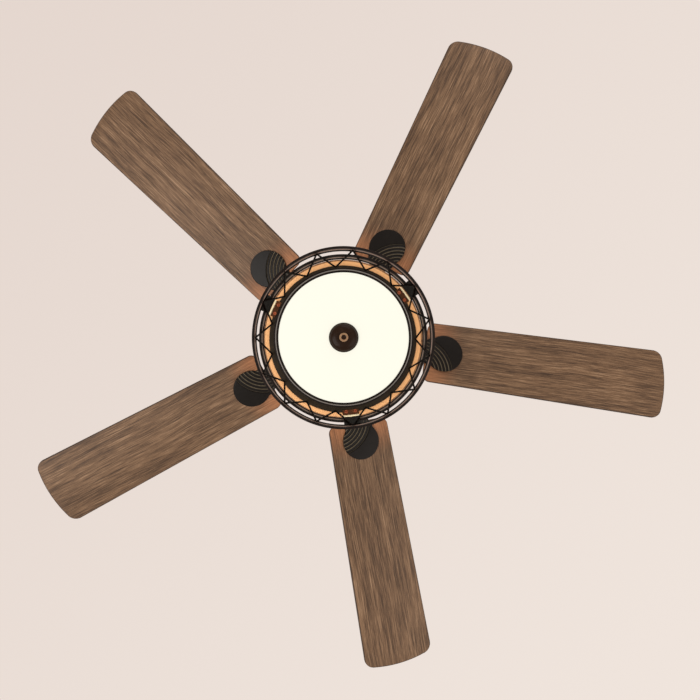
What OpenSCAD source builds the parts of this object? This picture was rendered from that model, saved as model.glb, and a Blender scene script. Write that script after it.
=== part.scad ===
// Ceiling fan with five plank blades and a caged drum light, hung from a short downrod.
// Millimetres, +Z up. The origin is the centre of the ceiling face, and everything hangs below it.

/* [Fan] */
// Diameter that the blade tips sweep
sweep = 1320; // [1270:10:1400]
// Tilt of a blade about its own length
blade_pitch = 13; // [8:0.5:15]
// Direction of the first blade when the fan is parked
first_blade = 8; // [0:1:71]
// Height of the blades' middle plane, down from the ceiling
blade_drop = 258; // [258:1:262]

/* [Blade] */
// Distance from the fan's axis to a blade's root edge
root_r = 168; // [165:1:175]
// Width of a blade at its root
root_w = 122; // [110:1:128]
// Width of a blade at its tip
tip_w = 141; // [130:1:150]
// Thickness of a blade
blade_t = 6; // [5:0.5:8]
// How far the tip edge bows out over the half width
tip_bow = 10; // [6:0.5:14]
// Radius of the two tip corners
tip_corner = 20; // [12:1:26]
// Radius of the two root corners
root_corner = 15; // [8:1:20]

/* [Blade iron] */
// Radius of the round plate under a blade
medal_r = 37; // [34:0.5:40]
// Distance from the fan's axis to the middle of the round plate
medal_x = 206.5; // [204:0.5:210]
// Thickness of the iron
iron_t = 4; // [3:0.5:5]

/* [Ceiling fitting] */
// Distance between the two ceiling screws
bolt_spacing = 88.9; // [88:0.1:90]
// Radius of the canopy
canopy_r = 73; // [72:0.5:78]
// Depth of the canopy
canopy_h = 66; // [66:1:72]
// Outside radius of the downrod
rod_r = 10.65; // [10:0.05:10.65]

/* [Motor] */
// Outside radius of the still motor housing
housing_r = 132; // [124:1:138]
// Radius of the motor shaft
shaft_r = 8.5; // [8:0.1:8.5]
// Outside radius of the turning motor shells
shell_r = 94.5; // [92:0.5:96]

/* [Cage] */
// Radius of the lower band's bottom edge
cage_r = 158.45; // [156:0.05:162]
// How much the cage narrows for each millimetre of height
cage_slope = 0.17; // [0.14:0.01:0.2]
// Radius of the lattice wire
wire_r = 1.7; // [1.2:0.1:1.8]
// Number of points of the zigzag lattice, a multiple of three
points = 15; // [12:3:18]
// Width of a bridge plate, arm and lug
strap_w = 31; // [26:1:34]
// Direction of the first arm of the light kit
first_arm = 84; // [80:1:88]

/* [Light] */
// Outside radius of the glass drum
drum_r = 117; // [115:0.5:117]
// Wall of the glass drum
drum_wall = 3.4; // [2.5:0.1:4]
// Radius of the finial under the shade
finial_r = 25.9; // [22:0.1:30]
// Distance from the axis to each lamp
lamp_r = 62; // [58:1:64]

/* [Hidden] */

$fn = 96;
BLADES = 5;
ARMS = 3;
tip_r = sweep / 2;
blade_z = -blade_drop;
gap = 0.1;             // between pieces that are only pressed together

// ceiling fitting
plate_t = 2.5;
plate_l = 138;
bracket_w = 34;
ear_h = 22;
leg_x = 38;
slot_w = 5.2;
slot_l = 14;
ball_z = -44;
ball_r = 20;
seat_gap = 0.3;
seat_hole = 16.5;
canopy_wall = 1.2;
canopy_skirt = 22;
canopy_hole = 26;
screw_z = -13;

// downrod and coupling
rod_wall = 2.3;
rod_top = -31;
rod_end = -157;
collar_top = -132;
collar_r = 16;
collar_end = -172;
collar_flange = 40;
collar_flange_t = 4;
pin_z = -145;
housing_top = collar_end + collar_flange_t;
skin = 1.5;

// motor
bearing_r = 20;
bearing_h = 12;
run_fit = 0.05;         // radial clearance of a bearing in its boss
upper_bearing_z = -189;
lower_bearing_z = -239;
joint_z = -213;        // where the two turning shells meet
web_t = 2.5;
shell_top = -189.5;
shell_bottom = -238.5;
shell_wall = 2.5;
stack_h = 24;
stator_r = 67;
air_gap = 0.6;
slots = 18;
fly_t = 7.5;
fly_bottom = shell_bottom - fly_t;
shoulder_z = -259.5;
stud_r = 5;

// light kit
pan_z = -322;
pan_t = 2;
pan_r = 120.5;
lip_t = 1.8;
lip_end = -336;
arm_t = 2.5;
foot_z = -339.5;
ring_bottom = -343;
ring_in = 124;
ring_out = 139.6;
flange_in = ring_out + gap;
flange_out = 151;
flange_t = 1.6;
lug_in = 134.4;
lug_out = 144;
lug_t = 2.2;
lug_screw_r = 137.5;
strip_in = 144.2;      // bright edge strip outside each lug
strip_w = 3.7;
strip_t = 0.8;
cup_r = 60;
cup_top = -257;
cup_screw_a = 20;
cup_screw_z = -266.5;
glass_top = -327;
diffuser_r = 118.5;
diffuser_top = -446.3;
diffuser_t = 3;
rim_bottom = -451;
rod_bottom = -458;
finial_top = -451.6;

// cage
band_z = -446.3;       // lower edge of the lower band
band_t = 1.6;
bead_r = 1.9;
bridge_t = 0.9;
lower_band = [0, 17];
upper_band = [45, 63.5];
bridge_span = [14, 66];
seam = 0.02;           // half width of a mitred seam, in degrees round the axis
overrun = 8;           // how far a wire is drawn past its corners before the mitre
wire_in = cage_r - bead_r - bridge_t - wire_r - gap;
top_vertex = [136.7, -345.5];
low_vertex = [wire_in, band_z + 0.6];

function polar(r, a, z) = [r * cos(a), r * sin(a), z];
function arc(c, r, a0, a1, n = 12) =
    [for (i = [0:n]) [c[0] + r * cos(a0 + (a1 - a0) * i / n), c[1] + r * sin(a0 + (a1 - a0) * i / n)]];
function oval(c, rx, ry, a0, a1, n = 16) =
    [for (i = [0:n]) [c[0] + rx * cos(a0 + (a1 - a0) * i / n), c[1] + ry * sin(a0 + (a1 - a0) * i / n)]];
function flip(p) = [for (i = [len(p) - 1:-1:0]) [p[i][0], -p[i][1]]];
function back(p) = [for (i = [len(p) - 1:-1:0]) p[i]];
function blade_angle(k) = first_blade + 360 * k / BLADES;
function arm_angle(k) = first_arm + 360 * k / ARMS;
// middle radius of the cage's sloping skin, t above the lower edge
function cage_at(t) = cage_r - cage_slope * t;

module tube(outer, inner, z0, z1) {
    translate([0, 0, z0]) difference() {
        cylinder(r = outer, h = z1 - z0);
        translate([0, 0, -1]) cylinder(r = inner, h = z1 - z0 + 2);
    }
}

module disc(r, z0, z1) {
    translate([0, 0, z0]) cylinder(r = r, h = z1 - z0);
}

// a block between two opposite corners
module block(low, high) {
    translate(low) cube([high[0] - low[0], high[1] - low[1], high[2] - low[2]]);
}

// a round bar between two points
module bar(p, q, r) {
    d = q - p;
    translate(p) rotate([0, acos(d[2] / norm(d)), atan2(d[1], d[0])]) cylinder(r = r, h = norm(d), $fn = 24);
}

module around(n, first = 0) {
    for (k = [0:n - 1]) rotate([0, 0, first + 360 * k / n]) children();
}

// a screw along +Z whose head rests below z = 0
module screw(shank_r, length, head_r, head_h) {
    cylinder(r = shank_r, h = length, $fn = 24);
    translate([0, 0, -head_h]) cylinder(r = head_r, h = head_h, $fn = 24);
}

// ---- ceiling fitting ----

module bracket_slots() {
    for (s = [-1, 1]) translate([s * bolt_spacing / 2, 0, -plate_t - 1]) {
        for (e = [-1, 1]) translate([e * (slot_l - slot_w) / 2, 0, 0])
            cylinder(r = slot_w / 2, h = plate_t + 2);
        translate([-(slot_l - slot_w) / 2, -slot_w / 2, 0]) cube([slot_l - slot_w, slot_w, plate_t + 2]);
    }
}

module hanger_bracket() {
    half = bracket_w / 2;
    seat_z = ball_z - 13;
    color("silver") difference() {
        union() {
            block([-plate_l / 2, -half, -plate_t], [plate_l / 2, half, 0]);
            for (s = [-1, 1]) {
                translate([s * (plate_l - plate_t) / 2, 0, -ear_h / 2])
                    cube([plate_t, bracket_w, ear_h], center = true);
                translate([s * leg_x, 0, (seat_z + 7) / 2])
                    cube([plate_t, bracket_w, -seat_z - 7], center = true);
            }
            block([-leg_x - plate_t / 2, -half, seat_z + 4.5], [leg_x + plate_t / 2, half, seat_z + 7]);
            disc(27, seat_z, seat_z + 9);
        }
        bracket_slots();
        translate([0, 0, ball_z]) sphere(r = ball_r + seat_gap);
        disc(seat_hole, seat_z - 1, ball_z);
        rotate([0, 90, 0]) translate([-screw_z, 0, -plate_l]) cylinder(r = 2.1, h = 2 * plate_l, $fn = 24);
    }
}

module canopy() {
    turn = canopy_h - canopy_skirt;
    outer = concat([[canopy_r, -0.5]], oval([30, -canopy_skirt], canopy_r - 30, turn, 0, -90));
    inner = oval([30, -canopy_skirt], canopy_r - 30 - canopy_wall, turn - canopy_wall, -90, 0);
    color("dimgray") difference() {
        rotate_extrude() polygon(concat(outer, [[canopy_hole, -canopy_h],
            [canopy_hole, -canopy_h + canopy_wall]], inner, [[canopy_r - canopy_wall, -0.5]]));
        rotate([0, 90, 0]) translate([-screw_z, 0, -canopy_r - 5])
            cylinder(r = 2.3, h = 2 * canopy_r + 10, $fn = 24);
    }
}

module canopy_screws() {
    color("gray") for (s = [0, 180]) rotate([0, 0, s])
        translate([canopy_r + gap, 0, screw_z]) rotate([0, -90, 0]) screw(2, 8, 4.2, 2.4);
}

module receiver_box() {
    color("black") difference() {
        block([-21, -45, -24], [21, 45, -4]);
        for (y = [-42, 42]) translate([0, y, -25]) cylinder(r = 1.6, h = 22, $fn = 24);
    }
}

// ---- downrod and coupling ----

module hanger_ball() {
    color("white") difference() {
        translate([0, 0, ball_z]) sphere(r = ball_r);
        disc(ball_r + 1, ball_z + 14, ball_z + 30);
        disc(ball_r + 1, ball_z - 30, ball_z - 14);
        disc(rod_r, ball_z - 30, ball_z + 30);
        bar([-30, 0, ball_z + 6], [30, 0, ball_z + 6], 2.6);
    }
}

module ball_pin() {
    color("silver") bar([-18, 0, ball_z + 6], [18, 0, ball_z + 6], 2.5);
}

module downrod() {
    color("dimgray") difference() {
        tube(rod_r, rod_r - rod_wall, rod_end, rod_top);
        bar([-30, 0, ball_z + 6], [30, 0, ball_z + 6], 2.6);
        bar([0, -30, pin_z], [0, 30, pin_z], 3.1);
    }
}

module coupling_cover() {
    top = housing_top + skin;
    color("dimgray") rotate_extrude() polygon(concat(oval([13, top], 31, 39.3, 0, 90),
        [[rod_r + 0.7, top + 39.3], [rod_r + 0.7, top + 38.1]], oval([13, top], 29.8, 38.1, 90, 0)));
}

module motor_collar() {
    color("gray") difference() {
        union() {
            disc(collar_r, collar_end, collar_top);
            disc(collar_flange, collar_end, housing_top);
        }
        disc(rod_r, rod_end, 0);
        disc(shaft_r, collar_end - 1, rod_end + 1);
        bar([0, -30, pin_z], [0, 30, pin_z], 3.1);
        around(3, 30) translate([30, 0, collar_end - 1]) cylinder(r = 2.1, h = 10, $fn = 24);
    }
}

module coupling_pin() {
    color("silver") difference() {
        union() {
            bar([0, -collar_r - gap, pin_z], [0, 22, pin_z], 3);
            bar([0, -collar_r - 3, pin_z], [0, -collar_r - gap, pin_z], 4.6);
        }
        bar([-10, 19.5, pin_z], [10, 19.5, pin_z], 0.9);
    }
}

module coupling_clip() {
    color("silver") {
        bar([-7, 19.5, pin_z], [6, 19.5, pin_z], 0.8);
        translate([-9.4, 19.5, pin_z]) rotate_extrude($fn = 32) translate([2.6, 0]) circle(r = 0.8, $fn = 16);
    }
}

// ---- motor ----

module motor_shaft() {
    color("silver") difference() {
        union() {
            disc(shaft_r, shoulder_z, rod_end);
            disc(stud_r, -272, shoulder_z + 1);
        }
        disc(3, -280, rod_end + 1);
    }
}

module bearing(z0) {
    mid = (shaft_r + bearing_r) / 2;
    color("silver") {
        tube(shaft_r + 3.2, shaft_r, z0, z0 + bearing_h);
        tube(bearing_r, bearing_r - 3.2, z0, z0 + bearing_h);
        around(8) translate([mid, 0, z0 + bearing_h / 2]) sphere(r = 2.45, $fn = 24);
    }
}

module upper_bearing() {
    bearing(upper_bearing_z);
}

module lower_bearing() {
    bearing(lower_bearing_z);
}

module stator_core() {
    z0 = joint_z - stack_h / 2;
    color("slategray") translate([0, 0, z0]) linear_extrude(stack_h) difference() {
        circle(r = stator_r);
        circle(r = shaft_r);
        around(slots) {
            translate([34, -3.5]) square([28, 7]);
            translate([61, -1.2]) square([10, 2.4]);
        }
    }
}

module stator_windings() {
    top = joint_z + stack_h / 2;
    low = joint_z - stack_h / 2;
    color("chocolate") {
        tube(61, 33, top + gap, top + 8);
        tube(61, 33, low - 8, low - gap);
        around(slots) block([35, -3.2, low - 1], [60.5, 3.2, top + 1]);
    }
}

// a turning end shell: web, rim wall, joint flange and the boss round its bearing
module shell(z_web, z_edge, z_boss, web_bore) {
    up = sign(z_web - z_edge);
    bore = bearing_r + run_fit;
    color("gray") difference() {
        union() {
            tube(shell_r, shell_r - shell_wall, min(z_web, z_edge), max(z_web, z_edge));
            tube(shell_r, web_bore, min(z_web, z_web - up * web_t), max(z_web, z_web - up * web_t));
            tube(bearing_r + 3, bore, min(z_boss, z_boss - up * 13), max(z_boss, z_boss - up * 13));
            tube(shell_r + 6, shell_r - shell_wall, min(z_edge, z_edge + up * 2.5),
                max(z_edge, z_edge + up * 2.5));
        }
        around(4, 45) translate([shell_r + 3, 0, z_edge - 4]) cylinder(r = 1.6, h = 8, $fn = 24);
    }
}

module rotor_top_shell() {
    shell(shell_top, joint_z, shell_top + 13, bearing_r - 5);
}

module rotor_bottom_shell() {
    shell(shell_bottom, joint_z, shell_bottom - 0.5, bearing_r + run_fit);
}

module rotor_ring() {
    inner = stator_r + air_gap;
    color("slategray") tube(shell_r - shell_wall, inner, joint_z - stack_h / 2, joint_z + stack_h / 2);
}

module shell_screws() {
    color("silver") around(4, 45) translate([shell_r + 3, 0, joint_z - 2.5 - gap]) screw(1.5, 8, 2.6, 2);
}

module flywheel() {
    color("dimgray") difference() {
        tube(92, 62, fly_bottom, shell_bottom);
        for (k = [0:BLADES - 1]) rotate([0, 0, blade_angle(k)]) for (y = [-9, 9])
            translate([79, y, fly_bottom - 1]) cylinder(r = 2.2, h = fly_t + 2, $fn = 24);
    }
}

module motor_housing() {
    top = housing_top + skin;
    drop = 30;
    end = -243;
    outer = concat(oval([42, top - drop], housing_r - 42, drop, 90, 0), [[housing_r, end]]);
    inner = oval([42, top - drop], housing_r - 42 - skin, drop - skin, 0, 90);
    color("dimgray") difference() {
        rotate_extrude() polygon(concat([[collar_r + 0.2, top]], outer, [[housing_r - skin, end]], inner,
            [[collar_r + 0.2, housing_top]]));
        around(3, 30) translate([30, 0, housing_top - 2]) cylinder(r = 2.2, h = 10, $fn = 24);
    }
}

module housing_screws() {
    color("silver") {
        around(3, 30) translate([30, 0, housing_top + skin + gap]) rotate([180, 0, 0]) screw(2, 7, 4, 2.2);
        around(3, cup_screw_a) translate([cup_r + gap, 0, cup_screw_z]) rotate([0, -90, 0])
            screw(2, 7, 4, 2.2);
    }
}

// ---- switch cup ----

module cup_screw_holes(r) {
    around(3, cup_screw_a) translate([cup_r - 10, 0, cup_screw_z]) rotate([0, 90, 0])
        cylinder(r = r, h = 20, $fn = 24);
}

module switch_plate() {
    color("silver") difference() {
        union() {
            disc(58.6, shoulder_z - 2.5, shoulder_z);
            tube(58.6, 57, shoulder_z - 12, shoulder_z - 1);
        }
        disc(stud_r, -280, 0);
        cup_screw_holes(2.1);
    }
}

module switch_housing() {
    color("dimgray") difference() {
        disc(cup_r, pan_z, cup_top);
        disc(cup_r - 1.3, pan_z + 1.4, cup_top + 1);
        disc(stud_r + 0.2, pan_z - 1, cup_top);
        block([-7, -cup_r - 2, -298], [7, -cup_r + 5, -292]);
        cup_screw_holes(2.2);
    }
}

module capacitor() {
    color("black") block([-19, 22, -306], [19, 42, -284]);
}

module reverse_switch() {
    color("black") difference() {
        block([-12, -57, -301], [12, -46, -289]);
        block([-7, -60, -298], [7, -53, -292]);
    }
}

module reverse_knob() {
    color("white") union() {
        block([-5.5, -61.8, -296.6], [-0.5, -53.5, -293.4]);
        block([-5.5, -57, -297.6], [-0.5, -53.5, -292.4]);
    }
}

// ---- light kit ----

module kit_pan() {
    color("dimgray") difference() {
        union() {
            disc(pan_r, pan_z - pan_t, pan_z);
            tube(pan_r, pan_r - lip_t, lip_end, pan_z - 1);
        }
        disc(stud_r + 0.2, -340, 0);
    }
}

module at_lamps() {
    for (k = [0:ARMS - 1]) rotate([0, 0, arm_angle(k) + 60]) translate([lamp_r, 0, 0]) children();
}

module lampholders() {
    top = pan_z - pan_t;
    color("ivory") at_lamps() difference() {
        disc(17, top - 34, top - gap);
        disc(13.7, top - 35, top - 4);
    }
}

module bulb_caps() {
    top = pan_z - pan_t;
    color("silver") at_lamps() union() {
        disc(13.3, top - 32, top - 8);
        disc(5, top - 8, top - 5);
    }
}

module bulbs() {
    top = pan_z - pan_t - 32;
    ball = 24;
    skirt = -54.5;
    outer = concat([[0, top - gap], [13.2, top - gap], [13.6, top - 6]],
        arc([0, top + skirt], ball, 35, -90, 14));
    color("ivory") at_lamps() rotate_extrude() polygon(outer);
}

module drum_gasket() {
    color("black") tube(118, 112.5, glass_top, pan_z - pan_t);
}

module glass_drum() {
    color("ivory") tube(drum_r, drum_r - drum_wall, diffuser_top, glass_top);
}

module diffuser() {
    color("ivory") tube(diffuser_r, stud_r + 0.2, diffuser_top - diffuser_t, diffuser_top);
}

module shade_rim() {
    color("black") rotate_extrude() union() {
        translate([113.7, rim_bottom]) square([6.8, 1.6]);
        translate([119, rim_bottom]) square([1.5, 17]);
        translate([drum_r + gap, rim_bottom + 15]) square([2.5, 1.5]);
        translate([118.1, rim_bottom]) circle(r = 1.1, $fn = 24);
        translate([120.7, rim_bottom + 1.2]) circle(r = 1.3, $fn = 24);
        translate([119.9, rim_bottom + 17]) circle(r = 0.9, $fn = 24);
    }
}

module centre_rod() {
    color("silver") difference() {
        disc(stud_r - 0.1, rod_bottom, pan_z + 12);
        disc(3, pan_z, pan_z + 13);
    }
}

module finial_washer() {
    color("black") tube(11, stud_r + 0.2, finial_top + 0.3, diffuser_top - diffuser_t);
}

module finial() {
    rise = 8;
    knob = 7.8;
    edge = finial_top - 2;
    color("saddlebrown") difference() {
        rotate_extrude() polygon(concat([[0, finial_top], [finial_r - 1.5, finial_top]],
            arc([finial_r - 1, finial_top - 1], 1, 90, -60, 6),
            back(oval([knob, edge], finial_r - 2 - knob, rise, -90, -20, 10)),
            arc([knob - 1.2, edge - rise - 3.2], 1.4, 60, -90, 8), [[0, edge - rise - 4.6]]));
        disc(stud_r, rod_bottom - 1, finial_top + 1);
    }
}

module kit_arms() {
    color("dimgray") for (k = [0:ARMS - 1]) rotate([0, 0, arm_angle(k)]) difference() {
        union() {
            block([62, -strap_w / 2, pan_z], [128, strap_w / 2, pan_z + arm_t]);
            block([125.5, -strap_w / 2, foot_z], [128, strap_w / 2, pan_z + arm_t]);
            block([125.5, -strap_w / 2, foot_z], [149, strap_w / 2, foot_z + arm_t]);
        }
        lug_holes();
    }
}

module lug_holes() {
    for (y = [-8.6, 8.6]) translate([lug_screw_r, y, ring_bottom - 5]) cylinder(r = 1.7, h = 14, $fn = 24);
}

module kit_flange() {
    under = foot_z - flange_t;
    color("orange") union() {
        tube(flange_out, flange_in, under, foot_z);
        for (k = [0:ARMS - 1]) rotate([0, 0, arm_angle(k)])
            block([strip_in, -strap_w / 2, under - strip_t],
                [strip_in + strip_w, strap_w / 2, under + flange_t / 2]);
    }
}

module cage_top_ring() {
    color("dimgray") difference() {
        tube(ring_out, ring_in, ring_bottom, foot_z);
        around(ARMS, first_arm) lug_holes();
    }
}

// a band of the cage's sloping skin with a bead along each edge
module band(span) {
    lo = [cage_at(span[0]), band_z + span[0]];
    hi = [cage_at(span[1]), band_z + span[1]];
    color("dimgray") rotate_extrude() union() {
        polygon([lo - [band_t / 2, 0], lo + [band_t / 2, 0], hi + [band_t / 2, 0], hi - [band_t / 2, 0]]);
        translate(lo) circle(r = bead_r, $fn = 24);
        translate(hi) circle(r = bead_r, $fn = 24);
    }
}

module cage_upper_band() {
    band(upper_band);
}

module cage_lower_band() {
    band(lower_band);
}

module cage_bridges() {
    sweep_deg = strap_w / cage_r * 180 / PI;
    inner = bead_r + bridge_t - gap / 2;
    lo = [cage_at(bridge_span[0]), band_z + bridge_span[0]];
    hi = [cage_at(bridge_span[1]), band_z + bridge_span[1]];
    color("black") for (k = [0:ARMS - 1]) rotate([0, 0, arm_angle(k) - sweep_deg / 2])
        rotate_extrude(angle = sweep_deg) polygon([lo - [inner, 0], lo - [bead_r + gap / 2, 0],
            hi - [bead_r + gap / 2, 0], hi - [inner, 0]]);
}

// an eight-sided bar through two points that runs on past both
module wire(p, q, r) {
    d = q - p;
    length = norm(d) + 2 * overrun;
    translate(p) rotate([0, acos(d[2] / norm(d)), atan2(d[1], d[0])]) translate([0, 0, -overrun])
        linear_extrude(length) polygon([for (i = [0:7]) [r * cos(22.5 + 45 * i), r * sin(22.5 + 45 * i)]]);
}

// the part of the cage between two rays, from its lower edge up to the top ring
module sector(a0, a1) {
    reach = cage_r + 20;
    low = band_z - bead_r;
    translate([0, 0, low]) linear_extrude(ring_bottom - gap - low)
        polygon([[0, 0], [reach * cos(a0), reach * sin(a0)], [reach * cos(a1), reach * sin(a1)]]);
}

// zigzag of straight wires, mitred where two of them meet
module cage_lattice() {
    half = 180 / points;
    color("black") for (k = [0:2 * points - 1]) rotate([0, 0, first_arm + k * half]) {
        p = k % 2 == 0 ? low_vertex : top_vertex;
        q = k % 2 == 0 ? top_vertex : low_vertex;
        intersection() {
            wire(polar(p[0], 0, p[1]), polar(q[0], half, q[1]), wire_r / cos(22.5));
            sector(seam, half - seam);
        }
    }
}

module arm_lugs() {
    color("sienna") for (k = [0:ARMS - 1]) rotate([0, 0, arm_angle(k)]) difference() {
        block([lug_in, -strap_w / 2, ring_bottom - lug_t], [lug_out, strap_w / 2, ring_bottom]);
        lug_holes();
    }
}

module lug_screws() {
    color("gold") for (k = [0:ARMS - 1]) rotate([0, 0, arm_angle(k)]) for (y = [-8.6, 8.6])
        translate([lug_screw_r, y, ring_bottom - lug_t - gap]) screw(1.6, 10, 3.1, 1.6);
}

// ---- blades ----

blade_slope = (tip_w - root_w) / 2 / (tip_r - root_r);
blade_lean = atan(blade_slope);
bow_r = pow(tip_w / 2, 2) / (2 * tip_bow);
function half_w(x) = root_w / 2 + (x - root_r) * blade_slope;
function corner_y(x) = half_w(x) - tip_corner / cos(blade_lean);
function corner_x(y) = tip_r - bow_r + sqrt(pow(bow_r - tip_corner, 2) - y * y);
tip_x = corner_x(corner_y(tip_r - tip_corner - tip_bow));
tip_y = corner_y(tip_x);
bow_a = atan2(tip_y, tip_x - tip_r + bow_r);
root_y = half_w(root_r + root_corner) - root_corner / cos(blade_lean);

function blade_side() = concat(
    arc([root_r + root_corner, root_y], root_corner, 180, 90 + blade_lean, 8),
    arc([tip_x, tip_y], tip_corner, 90 + blade_lean, bow_a, 8),
    arc([tip_r - bow_r, 0], bow_r, bow_a, 0, 6));

blade_holes = [[192, -16], [192, 16], [222, 0]];

// puts its children in the tilted plane of blade k
module on_blade(k) {
    rotate([0, 0, blade_angle(k)]) translate([0, 0, blade_z]) rotate([-blade_pitch, 0, 0]) children();
}

module blade(k) {
    color("rosybrown") on_blade(k) difference() {
        translate([0, 0, -blade_t / 2]) linear_extrude(blade_t)
            polygon(concat(blade_side(), flip(blade_side())));
        for (h = blade_holes) translate([h[0], h[1], -blade_t]) cylinder(r = 2.6, h = 2 * blade_t, $fn = 24);
    }
}

module iron(k) {
    under = -blade_t / 2;
    arm_w = 24;
    pad_x = 94;
    reach = 150;
    fall = fly_bottom - iron_t / 2 - (blade_z + under - iron_t / 2);
    length = sqrt(pow(reach - pad_x, 2) + pow(fall, 2));
    color("dimgray") difference() {
        union() {
            rotate([0, 0, blade_angle(k)]) {
                block([66, -15, fly_bottom - iron_t], [pad_x + 2, 15, fly_bottom]);
                translate([pad_x, 0, fly_bottom - iron_t / 2])
                    rotate([0, asin(fall / length), 0]) rotate([-blade_pitch / 2, 0, 0])
                        translate([-2, -arm_w / 2, -iron_t / 2]) cube([length + 4, arm_w, iron_t]);
            }
            on_blade(k) translate([0, 0, under - iron_t]) linear_extrude(iron_t) {
                translate([medal_x, 0]) circle(r = medal_r);
                polygon([[145, -11], [158, -15], [166, -23], [174, -27.5], [200, -30],
                    [200, 30], [174, 27.5], [166, 23], [158, 15], [145, 11]]);
            }
        }
        rotate([0, 0, blade_angle(k)]) for (y = [-9, 9])
            translate([79, y, fly_bottom - 10]) cylinder(r = 2.2, h = 20, $fn = 24);
        on_blade(k) for (h = blade_holes) translate([h[0], h[1], under - 3])
            cylinder(r = 2.5, h = 10, $fn = 24);
    }
}

module iron_screws() {
    color("silver") for (k = [0:BLADES - 1]) rotate([0, 0, blade_angle(k)]) for (y = [-9, 9])
        translate([79, y, fly_bottom - iron_t - gap]) screw(2.1, 10, 4, 2.6);
}

module blade_screws() {
    color("dimgray") for (k = [0:BLADES - 1]) on_blade(k) for (h = blade_holes)
        translate([h[0], h[1], blade_t / 2 + gap]) rotate([180, 0, 0]) union() {
            screw(2.3, blade_t + 2.6, 4.4, 2.4);
            translate([0, 0, -0.9]) cylinder(r = 6.2, h = 0.9, $fn = 24);
        }
}

hanger_bracket();
canopy();
canopy_screws();
receiver_box();
hanger_ball();
ball_pin();
downrod();
coupling_cover();
motor_collar();
coupling_pin();
coupling_clip();
motor_shaft();
upper_bearing();
lower_bearing();
stator_core();
stator_windings();
motor_housing();
housing_screws();
switch_plate();
switch_housing();
capacitor();
reverse_switch();
reverse_knob();
kit_pan();
lampholders();
bulb_caps();
bulbs();
drum_gasket();
glass_drum();
diffuser();
shade_rim();
centre_rod();
finial_washer();
finial();
kit_arms();
kit_flange();
cage_top_ring();
cage_upper_band();
cage_lower_band();
cage_bridges();
cage_lattice();
arm_lugs();
lug_screws();
rotor_top_shell();
rotor_bottom_shell();
rotor_ring();
shell_screws();
flywheel();
iron(0);  // blade_iron_1
iron(1);  // blade_iron_2
iron(2);  // blade_iron_3
iron(3);  // blade_iron_4
iron(4);  // blade_iron_5
iron_screws();
blade(0);  // blade_1
blade(1);  // blade_2
blade(2);  // blade_3
blade(3);  // blade_4
blade(4);  // blade_5
blade_screws();
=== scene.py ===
"""Looks of a five-blade ceiling fan with a caged drum light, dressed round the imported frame.

Everything is in metres in the frame's own axes: +Z is up into the ceiling and the origin is the
middle of the ceiling face. Sizes written with MM are millimetres turned into metres.
"""
from __future__ import annotations

import logging
import math
from dataclasses import dataclass
from enum import Enum
from typing import Iterable, Optional, Sequence, Union

import bmesh
import bpy
import numpy as np
from mathutils import Matrix, Vector


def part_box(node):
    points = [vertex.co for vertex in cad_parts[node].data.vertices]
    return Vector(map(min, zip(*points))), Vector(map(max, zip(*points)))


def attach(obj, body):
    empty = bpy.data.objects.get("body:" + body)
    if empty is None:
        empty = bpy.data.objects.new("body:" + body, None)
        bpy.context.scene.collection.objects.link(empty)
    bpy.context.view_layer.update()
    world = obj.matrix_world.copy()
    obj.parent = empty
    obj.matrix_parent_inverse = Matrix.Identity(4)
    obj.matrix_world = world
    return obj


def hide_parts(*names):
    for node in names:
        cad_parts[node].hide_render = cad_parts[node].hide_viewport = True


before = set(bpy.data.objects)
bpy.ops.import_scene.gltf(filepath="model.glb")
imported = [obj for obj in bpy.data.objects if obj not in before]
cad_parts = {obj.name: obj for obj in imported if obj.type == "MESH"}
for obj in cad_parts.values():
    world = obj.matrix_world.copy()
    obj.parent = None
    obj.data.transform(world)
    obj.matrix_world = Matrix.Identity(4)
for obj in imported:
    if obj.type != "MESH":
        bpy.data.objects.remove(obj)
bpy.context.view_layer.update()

LOG = logging.getLogger("fan")
MM = 0.001
TURN = 2.0 * math.pi
Colour = tuple[float, float, float]


def tone(red: int, green: int, blue: int) -> Colour:
    """Turns display values from 0 to 255 into the linear colour that a shader takes."""
    value = np.array([red, green, blue]) / 255.0
    linear = np.where(value <= 0.04045, value / 12.92, ((value + 0.055) / 1.055) ** 2.4)
    return tuple(float(v) for v in linear)


class Body(Enum):
    """The bodies of the frame that pieces ride on."""

    CEILING = "ceiling_mount"
    HANGING = "hanging_fan"
    ROTOR = "rotor"
    FINIAL = "finial"


# ---------------------------------------------------------------- shader arithmetic


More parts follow.
